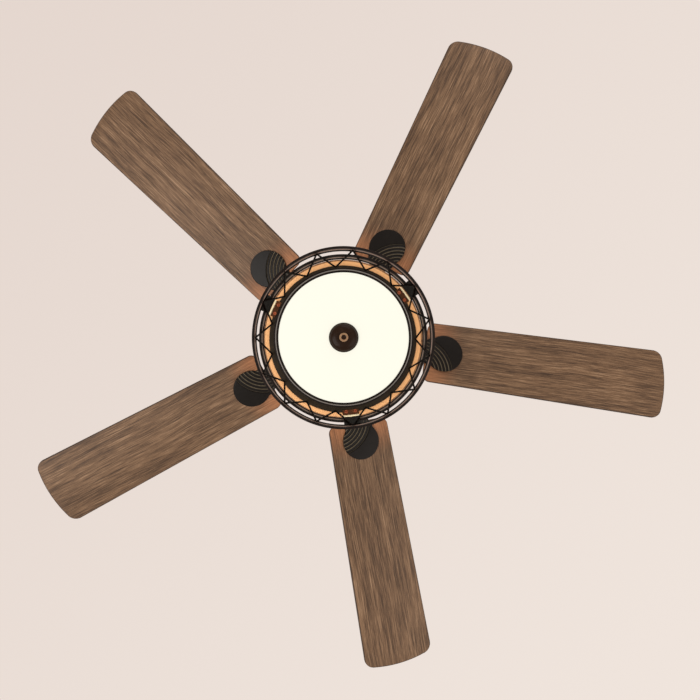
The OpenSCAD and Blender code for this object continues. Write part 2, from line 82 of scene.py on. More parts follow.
class Field:
    """A shader output that takes part in Python arithmetic through Math nodes."""

    def __init__(self, shader: "Shader", socket: bpy.types.NodeSocket) -> None:
        """Wraps one output socket of a shader."""
        self.shader = shader
        self.socket = socket

    def _math(self, operation: str, first: "Term", second: "Term") -> "Field":
        """Adds a Math node of two terms."""
        made = self.shader.node("ShaderNodeMath", {"operation": operation}, {0: first, 1: second})
        return Field(self.shader, made.outputs[0])

    def __add__(self, other: "Term") -> "Field":
        """self + other."""
        return self._math("ADD", self, other)

    __radd__ = __add__

    def __sub__(self, other: "Term") -> "Field":
        """self - other."""
        return self._math("SUBTRACT", self, other)

    def __rsub__(self, other: "Term") -> "Field":
        """other - self."""
        return self._math("SUBTRACT", other, self)

    def __mul__(self, other: "Term") -> "Field":
        """self * other."""
        return self._math("MULTIPLY", self, other)

    __rmul__ = __mul__

    def __truediv__(self, other: "Term") -> "Field":
        """self / other."""
        return self._math("DIVIDE", self, other)

    def __pow__(self, other: "Term") -> "Field":
        """self ** other."""
        return self._math("POWER", self, other)

    def sine(self) -> "Field":
        """Sine of the field, in radians."""
        return self._math("SINE", self, 0.0)

    def step(self, low: float, high: float) -> "Field":
        """Smooth step from 0 below low to 1 above high, or the other way round if low > high."""
        start, end, flip = (low, high, False) if low < high else (high, low, True)
        made = self.shader.node(
            "ShaderNodeMapRange",
            {"interpolation_type": "SMOOTHSTEP"},
            {0: self, 1: start, 2: end, 3: 1.0 if flip else 0.0, 4: 0.0 if flip else 1.0},
        )
        return Field(self.shader, made.outputs[0])


Term = Union[Field, float]
Paint = Union[Field, Colour]


class Shader:
    """One node material, or the surroundings, built by expressions on its fields."""

    def __init__(self, name: str, world: Optional[bpy.types.World] = None) -> None:
        """Starts an empty node tree on a new material called name, or on a world."""
        self.material = world or bpy.data.materials.new(name)
        self.material.use_nodes = True
        self.tree = self.material.node_tree
        self.tree.nodes.clear()

    def node(self, kind: str, settings: Optional[dict] = None, sockets: Optional[dict] = None) -> bpy.types.Node:
        """Adds any node.

        Args:
            kind: the node's type.
            settings: its properties, set first; "stops" holds a ramp's (place, colour) pairs.
            sockets: values or fields of its inputs, by name or number.

        Returns:
            The new node.
        """
        made = self.tree.nodes.new(kind)
        for key, value in (settings or {}).items():
            if key == "stops":
                ramp = made.color_ramp
                while len(ramp.elements) < len(value):
                    ramp.elements.new(0.5)
                for element, (place, colour) in zip(ramp.elements, value):
                    element.position = place
                    element.color = (*colour, 1.0)
            else:
                setattr(made, key, value)
        for key, value in (sockets or {}).items():
            target = made.inputs[key]
            if isinstance(value, Field):
                self.tree.links.new(value.socket, target)
            elif isinstance(value, tuple) and target.type == "RGBA":
                target.default_value = (*value, 1.0)
            else:
                target.default_value = value
        return made

    def out(self, made: bpy.types.Node, key: Union[int, str] = 0) -> Field:
        """One output of a node as a field."""
        return Field(self, made.outputs[key])

    def place(self, scale: Sequence[float] = (1, 1, 1)) -> Field:
        """Object coordinates, stretched by a Mapping node."""
        coords = self.out(self.node("ShaderNodeTexCoord"), "Object")
        return self.out(self.node("ShaderNodeMapping", None, {0: coords, "Scale": scale}))

    def axes(self, vector: Field) -> tuple[Field, Field, Field]:
        """The three parts of a vector."""
        made = self.node("ShaderNodeSeparateXYZ", None, {0: vector})
        return self.out(made, 0), self.out(made, 1), self.out(made, 2)

    def vector(self, x: Term, y: Term, z: Term) -> Field:
        """A vector of three terms."""
        return self.out(self.node("ShaderNodeCombineXYZ", None, {0: x, 1: y, 2: z}))

    def attribute(self, name: str) -> Field:
        """A number stored on the mesh's points."""
        return self.out(self.node("ShaderNodeAttribute", {"attribute_name": name}), "Fac")

    def noise(self, where: Field, scale: float, detail: float = 3.0, rough: float = 0.5, warp: float = 0.0) -> Field:
        """Noise from 0 to 1 at a place, scale features to the metre."""
        made = self.node("ShaderNodeTexNoise", None,
                         {"Vector": where, "Scale": scale, "Detail": detail, "Roughness": rough, "Distortion": warp})
        return self.out(made, 0)

    def mix(self, share: Term, first: Paint, second: Paint) -> Field:
        """Colour that goes from first at share 0 to second at share 1."""
        return self.out(self.node("ShaderNodeMix", {"data_type": "RGBA"}, {0: share, 6: first, 7: second}), 2)

    def ramp(self, value: Field, stops: Sequence[tuple[float, Colour]]) -> Field:
        """Colour of a value between stops."""
        return self.out(self.node("ShaderNodeValToRGB", {"stops": stops}, {0: value}))

    def bump(self, height: Field, depth: float, strength: float) -> Field:
        """Normal of a height from 0 to 1 that stands for depth metres."""
        return self.out(self.node("ShaderNodeBump", None, {"Height": height, "Distance": depth, "Strength": strength}))

    def surface(self, sockets: dict) -> bpy.types.Material:
        """Ends the material in a Principled shader with these inputs and returns it."""
        shader = self.node("ShaderNodeBsdfPrincipled", None, sockets)
        self.node("ShaderNodeOutputMaterial", None, {0: self.out(shader)})
        return self.material


# ---------------------------------------------------------------- finishes


@dataclass(frozen=True)
class Coated:
    """A dark coat on metal: cloudy tone, worn through in patches and a fine orange-peel; on points marked "ridge" the
    second colour is also laid on as a painted highlight, or on the flange's border as a painted shade.
    """

    name: str
    coat: Colour
    # colour of worn patches, also used for painted highlight and painted shade on points marked "ridge"
    wear_and_light_colour: Colour
    rough: float = 0.36
    metallic: float = 0.7
    wear: float = 0.5
    clear: float = 0.15
    clear_rough: float = 0.25
    gloss: float = 0.5
    ridge: bool = False

    def make(self) -> bpy.types.Material:
        """Builds the node material."""
        s = Shader(self.name)
        where = s.place()
        cloud = s.noise(where, 38.0, 4.0, 0.6)
        fine = s.noise(where, 900.0, 2.0)
        scuff = s.noise(where, 150.0, 5.0, 0.7, 0.6)
        wear_and_light = (cloud * 0.55 + scuff * 0.45).step(0.5, 0.68) * self.wear
        # Points marked "ridge" take the second colour as painted light: a painted highlight on bands, irons and finial,
        # a painted shade on the flange's border.
        if self.ridge:
            wear_and_light = wear_and_light * 0.5 + s.attribute("ridge") * (0.75 + (scuff - 0.5) * 0.8)
        colour = s.mix(wear_and_light, s.mix(fine.step(0.35, 0.7) * 0.3 * self.wear, self.coat, self.wear_and_light_colour), self.wear_and_light_colour)
        rough = self.rough + (scuff - 0.5) * 0.22 + (fine - 0.5) * 0.12
        normal = s.bump(fine * 0.6 + scuff * 0.4, 0.25 * MM, 0.35)
        return s.surface({"Base Color": colour, "Metallic": self.metallic, "Roughness": rough,
                          "Coat Weight": self.clear, "Coat Roughness": self.clear_rough,
                          "Specular IOR Level": self.gloss, "Normal": normal})


@dataclass(frozen=True)
class Planed:
    """A weathered walnut plank: fibres, growth figure, dark pores, painted lamp light glowing on the root end and
    painted shade along the edges.
    """

    name: str
    deep: Colour
    dark: Colour
    mid: Colour
    light: Colour
    lamp_glow: Colour
    root: float = 0.168
    root_half: float = 0.061
    flare: float = 0.0193
    tip: float = 0.660
    bow_r: float = 0.2485

    def make(self) -> bpy.types.Material:
        """Builds the node material.

        The plank's own UV map holds metres along and across it. Every layer is noise stretched along
        the plank: broad figure lines on a position that slow noise pushes sideways a little, short
        dark streaks, fibres and pores.
        """
        s = Shader(self.name)
        along, across, _ = s.axes(s.out(s.node("ShaderNodeUVMap", {"uv_map": "plank"})))
        board = s.attribute("board")
        edge = s.attribute("edge")
        u = along + board * 1.7
        v = across + board * 0.41
        sway = s.noise(s.vector(u * 3.0, v * 5.0, board), 1.0, 2.0)
        bent = v + (sway - 0.5) * 0.016
        figure = s.noise(s.vector(u * 3.0, bent * 100.0, board), 1.0, 4.0, 0.65)
        streak = s.noise(s.vector(u * 11.0, bent * 360.0, board + 4.0), 1.0, 3.0, 0.55)
        fibre = s.noise(s.vector(u * 20.0, bent * 520.0, board), 1.0, 4.0, 0.75)
        pore = s.noise(s.vector(u * 50.0, v * 1100.0, board + 9.0), 1.0, 2.0)
        patch = s.noise(s.vector(u * 6.0, v * 20.0, board + 2.0), 1.0, 3.0)
        dark_streak = streak.step(0.56, 0.66)
        value = 0.5 + (figure - 0.5) * 0.6 + (fibre - 0.5) * 1.3 + (patch - 0.5) * 0.35
        wood = s.ramp(value, [(0.2, self.deep), (0.42, self.dark), (0.58, self.mid), (0.82, self.light)])
        wood = s.mix(dark_streak * 0.6, wood, self.deep)
        wood = s.mix(pore.step(0.6, 0.75) * 0.35, wood, self.deep)
        # Painted lamp light: near the root, towards the shade, the wood turns to the glow colour.
        reach = s.out(s.node("ShaderNodeVectorMath", {"operation": "LENGTH"}, {0: s.vector(along, across, 0.0)}), 1)
        root = reach.step(0.250, 0.172)
        wood = s.mix(root * 0.75, wood, s.mix(0.5 + (value - 0.5) * 0.9, self.dark, self.lamp_glow))
        # Painted shade: the edge walls and a thin border inside the outline are darkened.
        square = across * across
        to_side = (along - self.root) * self.flare + self.root_half - square**0.5
        to_tip = self.tip - square / (2.0 * self.bow_r) - along
        border = to_side.step(2.6 * MM, 0.6 * MM) + to_tip.step(2.8 * MM, 0.8 * MM)
        wood = s.mix(border * 0.4 + edge * 0.5, wood, self.deep)
        height = fibre * 0.5 + (1.0 - pore.step(0.6, 0.75)) * 0.3 + figure * 0.2
        rough = 0.5 + (fibre - 0.5) * 0.25 + dark_streak * 0.08
        return s.surface({"Base Color": wood, "Roughness": rough, "Normal": s.bump(height, 0.5 * MM, 0.5),
                          "Specular IOR Level": 0.35})


@dataclass(frozen=True)
class Glowing:
    """Opal frosted glass lit from inside, a little brighter over the lamps."""

    name: str
    body: Colour
    glow: Colour
    strength: float
    spots: int = 3
    phase: float = 72.0
    spot_share: float = 0.06

    def make(self) -> bpy.types.Material:
        """Builds the node material; the glow swells as a cosine of the angle round the axis."""
        s = Shader(self.name)
        where = s.place()
        x, y, _ = s.axes(where)
        angle = s.out(s.node("ShaderNodeMath", {"operation": "ARCTAN2"}, {0: y, 1: x}))
        swell = (angle * float(self.spots) - math.radians(self.phase)).sine() * 0.5 + 0.5
        frost = s.noise(where, 1400.0, 2.0)
        cloud = s.noise(where, 14.0, 3.0)
        share = swell * self.spot_share + (cloud - 0.5) * 0.05
        dim = tuple(0.93 * c for c in self.glow)
        glow = s.mix(0.5 + share, dim, self.glow)
        return s.surface({"Base Color": s.mix(frost, self.body, tuple(0.94 * c for c in self.body)),
                          "Roughness": 0.42 + frost * 0.16, "Emission Color": glow,
                          "Emission Strength": self.strength, "Normal": s.bump(frost, 0.06 * MM, 0.3)})


class Grain(Enum):
    """How a bare metal or moulded surface is marked."""

    BRUSHED = "brushed along its length"
    CAST = "sand cast pits"
    STACKED = "sheet edges, one over the other"
    WOUND = "turns of wire"
    MOULDED = "fine spark-eroded grain"


@dataclass(frozen=True)
class Worked:
    """A plain material with one working mark and some variation of tone."""

    name: str
    colour: Colour
    dull: Colour
    grain: Grain
    metallic: float
    rough: float

    def make(self) -> bpy.types.Material:
        """Builds the node material."""
        s = Shader(self.name)
        where = s.place()
        cloud = s.noise(where, 45.0, 4.0, 0.6)
        if self.grain is Grain.BRUSHED:
            mark = s.noise(s.place((900.0, 900.0, 60.0)), 1.0, 3.0)
            depth = 0.08
        elif self.grain is Grain.CAST:
            mark = s.noise(where, 700.0, 4.0, 0.7)
            depth = 0.35
        elif self.grain is Grain.STACKED:
            _, _, z = s.axes(where)
            mark = (z * (TURN / (1.0 * MM))).sine() * 0.5 + 0.5
            depth = 0.2
        elif self.grain is Grain.WOUND:
            x, y, _ = s.axes(where)
            away = s.out(s.node("ShaderNodeVectorMath", {"operation": "LENGTH"}, {0: s.vector(x, y, 0.0)}), 1)
            mark = (away * (TURN / (0.9 * MM)) + cloud * 5.0).sine() * 0.5 + 0.5
            depth = 0.4
        else:
            mark = s.noise(where, 1100.0, 2.0)
            depth = 0.12
        colour = s.mix(cloud.step(0.35, 0.7) * 0.6 + mark * 0.25, self.colour, self.dull)
        rough = self.rough + (cloud - 0.5) * 0.2 + (mark - 0.5) * 0.1
        return s.surface({"Base Color": colour, "Metallic": self.metallic, "Roughness": rough,
                          "Normal": s.bump(mark, depth * MM, 0.6)})


Finish = Union[Coated, Planed, Glowing, Worked]
FINISHES: dict[str, Finish] = {
    "dark_bronze": Coated("dark_bronze", tone(20, 15, 12), tone(62, 42, 28), rough=0.44, metallic=0.3, wear=0.3,
                          clear=0.06, gloss=0.3),
    "rim_black": Coated("rim_black", tone(14, 9, 7), tone(58, 38, 24), rough=0.5, metallic=0.0, wear=0.2,
                        clear=0.0, gloss=0.12),
    # a pale ring under the shade's rim that stands for a painted highlight
    "rim_painted_highlight": Coated("rim_painted_highlight", tone(112, 110, 106), tone(84, 78, 72), rough=0.5, metallic=0.3, wear=0.4),
    # olive tone of the top ring: bronze with painted lamp light
    "lamp_lit_ring": Coated("lamp_lit_ring", tone(34, 26, 14), tone(66, 50, 26), rough=0.5, metallic=0.1, wear=0.4,
                          clear=0.0, gloss=0.25),
    "cage_bronze": Coated("cage_bronze", tone(12, 6, 4), tone(46, 25, 16), rough=0.65, metallic=0.0, wear=0.2,
                          clear=0.0, gloss=0.06),
    # pale second colour: a painted highlight line along the bands' inner faces
    "cage_sheet": Coated("cage_sheet", tone(12, 6, 5), tone(172, 142, 130), rough=0.5, metallic=0.0, wear=0.08,
                         clear=0.0, gloss=0.12, ridge=True),
    # bright orange flange: dark bronze with the lamps' light painted into its colour
    "warm_flange": Coated("warm_flange", tone(250, 192, 132), tone(70, 32, 14), rough=0.5, metallic=0.1, wear=0.25,
                          ridge=True),
    # near-white strips: a painted highlight where the lamps light the flange's edge
    "lamp_lit_edge_highlight": Coated("lamp_lit_edge_highlight", tone(255, 246, 206), tone(250, 226, 170), rough=0.3, metallic=0.0,
                            wear=0.2),
    "lug_brown": Coated("lug_brown", tone(74, 44, 22), tone(128, 76, 36), wear=0.7),
    # pale second colour: a painted highlight on the finial's button rim
    "finial_bronze": Coated("finial_bronze", tone(30, 16, 7), tone(160, 130, 100), rough=0.34, metallic=0.0, wear=0.05,
                            clear=0.05, clear_rough=0.14, gloss=0.1, ridge=True),
    # pale second colour: painted highlight along the flute ridges
    "iron_bronze": Coated("iron_bronze", tone(8, 6, 5), tone(150, 140, 118), rough=0.42, metallic=0.05, wear=0.02,
                          clear=0.06, clear_rough=0.2, gloss=0.18, ridge=True),
    # the last colour is the painted lamp glow on the root end
    "blade_wood": Planed("blade_wood", tone(46, 32, 21), tone(88, 67, 48), tone(118, 93, 69),
                         tone(160, 134, 107), tone(226, 152, 102)),
    "frosted_glass": Glowing("frosted_glass", (0.2, 0.2, 0.18), (0.92, 0.92, 0.8), 0.85),
    "lamp_glass": Glowing("lamp_glass", (0.9, 0.88, 0.8), (1.0, 0.85, 0.6), 2.0),
    "brass_screw": Worked("brass_screw", tone(190, 104, 70), tone(130, 62, 38), Grain.BRUSHED, 0.7, 0.3),
    "zinc_steel": Worked("zinc_steel", tone(196, 198, 202), tone(150, 152, 158), Grain.BRUSHED, 0.95, 0.34),
    "bright_steel": Worked("bright_steel", tone(214, 214, 216), tone(182, 182, 186), Grain.BRUSHED, 1.0, 0.2),
    "cast_shell": Worked("cast_shell", tone(186, 188, 190), tone(150, 152, 156), Grain.CAST, 0.85, 0.5),
    "lamination": Worked("lamination", tone(120, 124, 130), tone(78, 80, 84), Grain.STACKED, 0.8, 0.45),
    "copper_wire": Worked("copper_wire", tone(206, 112, 60), tone(132, 60, 30), Grain.WOUND, 0.85, 0.35),
    "nylon": Worked("nylon", tone(236, 233, 224), tone(218, 213, 200), Grain.MOULDED, 0.0, 0.45),
    "black_plastic": Worked("black_plastic", tone(34, 34, 36), tone(52, 52, 54), Grain.MOULDED, 0.0, 0.5),
    "white_plastic": Worked("white_plastic", tone(238, 238, 234), tone(222, 220, 212), Grain.MOULDED, 0.0, 0.4),
    "porcelain": Worked("porcelain", tone(242, 240, 232), tone(226, 222, 210), Grain.CAST, 0.0, 0.35),
    "gasket_rubber": Worked("gasket_rubber", tone(38, 38, 38), tone(58, 56, 54), Grain.MOULDED, 0.0, 0.8),
}


class Paintbox:
    """Makes each finish once and puts it on pieces."""

    def __init__(self) -> None:
        """Starts with nothing mixed."""
        self.made: dict[str, bpy.types.Material] = {}

    def get(self, finish: str) -> bpy.types.Material:
        """The material of a finish, made on first use."""
        if finish not in self.made:
            self.made[finish] = FINISHES[finish].make()
        return self.made[finish]

    def dress(self, piece: bpy.types.Object, slot: str, finish: str = "") -> None:
        """Gives a piece one material: its slot's own, or another finish of the same stuff."""
        piece.data.materials.clear()
        piece.data.materials.append(self.get(finish or slot))


# ---------------------------------------------------------------- surfaces


def mesh_piece(name: str, points: np.ndarray, faces: np.ndarray, crease: float = 35.0) -> bpy.types.Object:
    """Makes an object of points and faces, closed at its seams and poles and facing outwards.

    Args:
        name: the piece's name.
        points: places, one row each.
        faces: four corner numbers a row.
        crease: an edge that turns more than this many degrees is sharp.

    Returns:
        The new object, at the origin.
    """
    mesh = bpy.data.meshes.new(name)
    mesh.from_pydata(points.tolist(), [], faces.tolist())
    work = bmesh.new()
    work.from_mesh(mesh)
    bmesh.ops.remove_doubles(work, verts=work.verts, dist=1e-6)
    bmesh.ops.dissolve_degenerate(work, edges=work.edges, dist=1e-7)
    bmesh.ops.recalc_face_normals(work, faces=work.faces)
    work.to_mesh(mesh)
    work.free()
    mesh.polygons.foreach_set("use_smooth", np.ones(len(mesh.polygons), bool))
    mesh.set_sharp_from_angle(angle=math.radians(crease))
    piece = bpy.data.objects.new(name, mesh)
    bpy.context.scene.collection.objects.link(piece)
    return piece


def spots(piece: bpy.types.Object) -> np.ndarray:
    """Places of a piece's points, one row each."""
    place = np.empty(len(piece.data.vertices) * 3, np.float32)
    piece.data.vertices.foreach_get("co", place)
    return place.reshape(-1, 3)


def stamp(piece: bpy.types.Object, name: str, value: np.ndarray) -> None:
    """Stores a number on each point of a piece, for its finish to read."""
    piece.data.attributes.new(name, "FLOAT", "POINT").data.foreach_set("value", value.astype(np.float32))


def grid_faces(rows: int, columns: int, around_rows: bool, around_columns: bool) -> np.ndarray:
    """Corner numbers of the quads of a grid that may close on itself either way."""
    row = np.arange(rows if around_rows else rows - 1)[:, None]
    column = np.arange(columns if around_columns else columns - 1)[None, :]
    below, right = (row + 1) % rows, (column + 1) % columns
    corners = [row * columns + column, row * columns + right, below * columns + right, below * columns + column]
    return np.stack(np.broadcast_arrays(*corners), -1).reshape(-1, 4)


def softened(outline: Sequence[Sequence[float]], radius: float, steps: int = 4) -> np.ndarray:
    """Rounds the corners of an outline.

    Each corner is replaced by a quadratic curve from a point on its first side to one on its second,
    both at the given distance, or less than half the side: (1-t)^2 a + 2t(1-t) corner + t^2 b.

    Args:
        outline: corners (radius, height) of a closed outline.
        radius: distance from a corner to where its curve starts.
        steps: spans of each curve.

    Returns:
        The rounded outline's points.
    """
    corner = np.asarray(outline, float)
    before, after = np.roll(corner, 1, 0), np.roll(corner, -1, 0)
    share = np.linspace(0, 1, steps + 1)[None, :, None]

    def towards(other: np.ndarray) -> np.ndarray:
        """A point of each corner's side, on the way to its other end."""
        side = other - corner
        length = np.maximum(np.linalg.norm(side, axis=1, keepdims=True), 1e-9)
        return corner + side / length * np.minimum(radius, 0.45 * length)

    a, b, c = towards(before)[:, None], towards(after)[:, None], corner[:, None]
    curve = (1 - share) ** 2 * a + 2 * share * (1 - share) * c + share**2 * b
    return curve.reshape(-1, 2)


def lathe(name: str, profile: np.ndarray, closed: bool, segments: int = 240) -> bpy.types.Object:
    """Turns a profile of (radius, height) points round the Z axis into a piece."""
    angle = np.arange(segments) / segments * TURN
    radius, height = profile[:, 0][None, :], profile[:, 1][None, :]
    x, y = radius * np.cos(angle)[:, None], radius * np.sin(angle)[:, None]
    points = np.stack([x, y, np.broadcast_to(height, x.shape)], -1).reshape(-1, 3)
    return mesh_piece(name, points, grid_faces(segments, len(profile), True, closed))


def quarter(centre: Sequence[float], rx: float, ry: float, start: float, end: float, steps: int = 24) -> np.ndarray:
    """Points of an ellipse's arc between two angles in degrees."""
    angle = np.radians(np.linspace(start, end, steps + 1))
    return np.stack([centre[0] + rx * np.cos(angle), centre[1] + ry * np.sin(angle)], -1)


def bead(centre: Sequence[float], radius: float, start: float, end: float, steps: int = 10) -> np.ndarray:
    """Points of a round bead's arc between two angles in degrees."""
    return quarter(centre, radius, radius, start, end, steps)


def low(node: str) -> np.ndarray:
    """Lowest corner of a CAD node."""
    return np.array(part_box(node)[0])


def high(node: str) -> np.ndarray:
    """Highest corner of a CAD node."""
    return np.array(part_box(node)[1])


class Assembly:
    """What every sub-assembly shares: its paintbox and the ways to place and dress pieces."""

    def __init__(self, paints: Paintbox) -> None:
        """Keeps the paintbox."""
        self.paints = paints

    def fit(self, piece: bpy.types.Object, body: Body, slot: str, *nodes: str, finish: str = "") -> bpy.types.Object:
        """Dresses a new piece, makes it ride on its body and stand for its CAD nodes."""
        self.paints.dress(piece, slot, finish)
        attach(piece, body.value)
        if nodes:
            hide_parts(*nodes)
        LOG.info("%s: %d faces on %s, %s", piece.name, len(piece.data.polygons), body.value, slot)
        return piece

    def keep(self, slot: str, *nodes: str) -> None:
        """Dresses CAD nodes that are shown as they are."""
        for node in nodes:
            self.paints.dress(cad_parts[node], slot)
            LOG.info("%s: kept, %s", node, slot)


# ---------------------------------------------------------------- blades


@dataclass(frozen=True)
class BladeSizes:
    """Sizes of a blade and where the five of them sit."""

    count: int = 5
    first: float = 8.0
    pitch: float = 13.0
    middle: float = -258 * MM
    root: float = 168 * MM
    tip: float = 660 * MM
    root_w: float = 122 * MM
    tip_w: float = 141 * MM
    thick: float = 6 * MM
    bow: float = 10 * MM
    tip_corner: float = 20 * MM
    root_corner: float = 15 * MM
    edge_round: float = 1.6 * MM

    def seat(self, k: int) -> np.ndarray:
        """Turn and shift of blade k as a 4 by 4: pitch about X, drop, then turn about Z."""
        turn = Matrix.Rotation(math.radians(self.first + 360 * k / self.count), 4, "Z")
        tilt = Matrix.Rotation(-math.radians(self.pitch), 4, "X")
        return np.array(turn @ Matrix.Translation((0, 0, self.middle)) @ tilt)


def moved(points: np.ndarray, matrix: np.ndarray) -> np.ndarray:
    """Points carried by a 4 by 4 matrix."""
    return points @ matrix[:3, :3].T + matrix[:3, 3]


class Blades(Assembly):
    """Five planks with rounded corners, a bowed tip and softened edges."""

    sizes = BladeSizes()

    def half_outline(self) -> tuple[np.ndarray, np.ndarray]:
        """One long side of the plank from its root edge to the middle of its tip.

        The side leans outwards by half the difference of the two widths over the length. Circles of
        the corner radii touch it and the root edge or the bowed tip.

        Returns:
            The points (along, across) and the outward directions there.
        """
        z = self.sizes
        slope = (z.tip_w - z.root_w) / 2 / (z.tip - z.root)
        lean = math.atan(slope)
        bow_r = (z.tip_w / 2) ** 2 / (2 * z.bow)

        def half(x: float) -> float:
            """Half width at x."""
            return z.root_w / 2 + (x - z.root) * slope

        def corner_y(x: float, r: float) -> float:
            """Height of the middle of a corner circle that touches the side."""
            return half(x) - r / math.cos(lean)

        root_c = (z.root + z.root_corner, corner_y(z.root + z.root_corner, z.root_corner))
        guess = z.tip - z.tip_corner - z.bow
        tip_x = z.tip - bow_r + math.sqrt((bow_r - z.tip_corner) ** 2 - corner_y(guess, z.tip_corner) ** 2)
        tip_c = (tip_x, corner_y(tip_x, z.tip_corner))
        tip_a = math.degrees(math.atan2(tip_c[1], tip_c[0] - z.tip + bow_r))
        turn = 90 + math.degrees(lean)
        arcs = ((root_c, z.root_corner, 180.0, turn), (tip_c, z.tip_corner, turn, tip_a),
                ((z.tip - bow_r, 0.0), bow_r, tip_a, 0.0))
        angles = [np.radians(np.linspace(a0, a1, 13)) for _, _, a0, a1 in arcs]
        points = [np.stack([c[0] + r * np.cos(a), c[1] + r * np.sin(a)], -1)
                  for (c, r, _, _), a in zip(arcs, angles)]
        outward = [np.stack([np.cos(a), np.sin(a)], -1) for a in angles]
        last = points.pop()[1:]
        return np.concatenate([*points, last]), np.concatenate([*outward[:-1], outward[-1][1:]])

    def plank(self, k: int) -> bpy.types.Object:
        """Builds one blade.

        The outline runs round the plank. Its edge is a rounded profile carried along it: at an angle
        a from the edge's middle, the point moves in by r (1 - cos a) and up or down by the straight
        part plus r sin a. The two faces are strips between the outline's mirrored points.

        Args:
            k: the blade's number, from 0.

        Returns:
            The piece, with a UV map in metres along and across it.
        """
        z = self.sizes
        side, out = self.half_outline()
        mirror = np.array([1.0, -1.0])
        loop = np.concatenate([side, side[-2::-1] * mirror])
        outward = np.concatenate([out, out[-2::-1] * mirror])
        r = z.edge_round
        angle = np.radians(np.concatenate([np.linspace(-90, 0, 6), np.linspace(0, 90, 6)]))
        inset = r * (1 - np.cos(angle))
        height = r * np.sin(angle) + np.sign(np.arange(12) - 5.5) * (z.thick / 2 - r)
        flat = loop[None] - outward[None] * inset[:, None, None]
        heights = np.broadcast_to(height[:, None, None], (*flat.shape[:2], 1))
        points = np.concatenate([flat, heights], -1)
        rings, count = points.shape[:2]
        walls = grid_faces(rings, count, False, True)
        i = np.arange(len(side) - 2)
        low_face = np.stack([i, i + 1, count - 2 - i, count - 1 - i], -1)
        nose = len(side) - 2
        low_face = np.concatenate([low_face, [[nose, nose + 1, nose + 1, nose + 2]]])
        top_face = low_face + (rings - 1) * count
        faces = np.concatenate([walls, low_face, top_face])
        piece = mesh_piece(f"plank_{k + 1}", points.reshape(-1, 3), faces, 30.0)
        self.mark(piece, k)
        piece.data.transform(Matrix(z.seat(k).tolist()))
        return piece

    def mark(self, piece: bpy.types.Object, k: int) -> None:
        """Stores a plank's UV map in metres, its board number and where its edges are."""
        mesh, place = piece.data, spots(piece)
        corner = np.empty(len(mesh.loops), np.int32)
        mesh.loops.foreach_get("vertex_index", corner)
        mesh.uv_layers.new(name="plank").data.foreach_set("uv", place[corner, :2].ravel())
        stamp(piece, "board", np.full(len(place), float(k)))
        stamp(piece, "edge", np.abs(np.abs(place[:, 2]) - self.sizes.thick / 2) > 0.02 * MM)

    def build(self) -> None:
        """Builds the five blades."""
        for k in range(self.sizes.count):
            self.fit(self.plank(k), Body.ROTOR, "blade_wood", f"blade_{k + 1}")


# ---------------------------------------------------------------- blade irons


@dataclass(frozen=True)
class IronSizes:
    """Sizes of a blade iron: pad, rising arm and fluted round plate."""

    start: float = 66 * MM
    pad_end: float = 94 * MM
    reach: float = 150 * MM
    plate_x: float = 206.5 * MM
    plate_r: float = 37 * MM
    thick: float = 4 * MM
    crown: float = 1.1 * MM
    flute_depth: float = 1.5 * MM
    flute_centre: tuple[float, float] = (-1.42, 1.21)
    flute_start: float = 1.06
    flute_gap: float = 0.185
    flutes: int = 5
    stations: int = 300
    across: int = 110


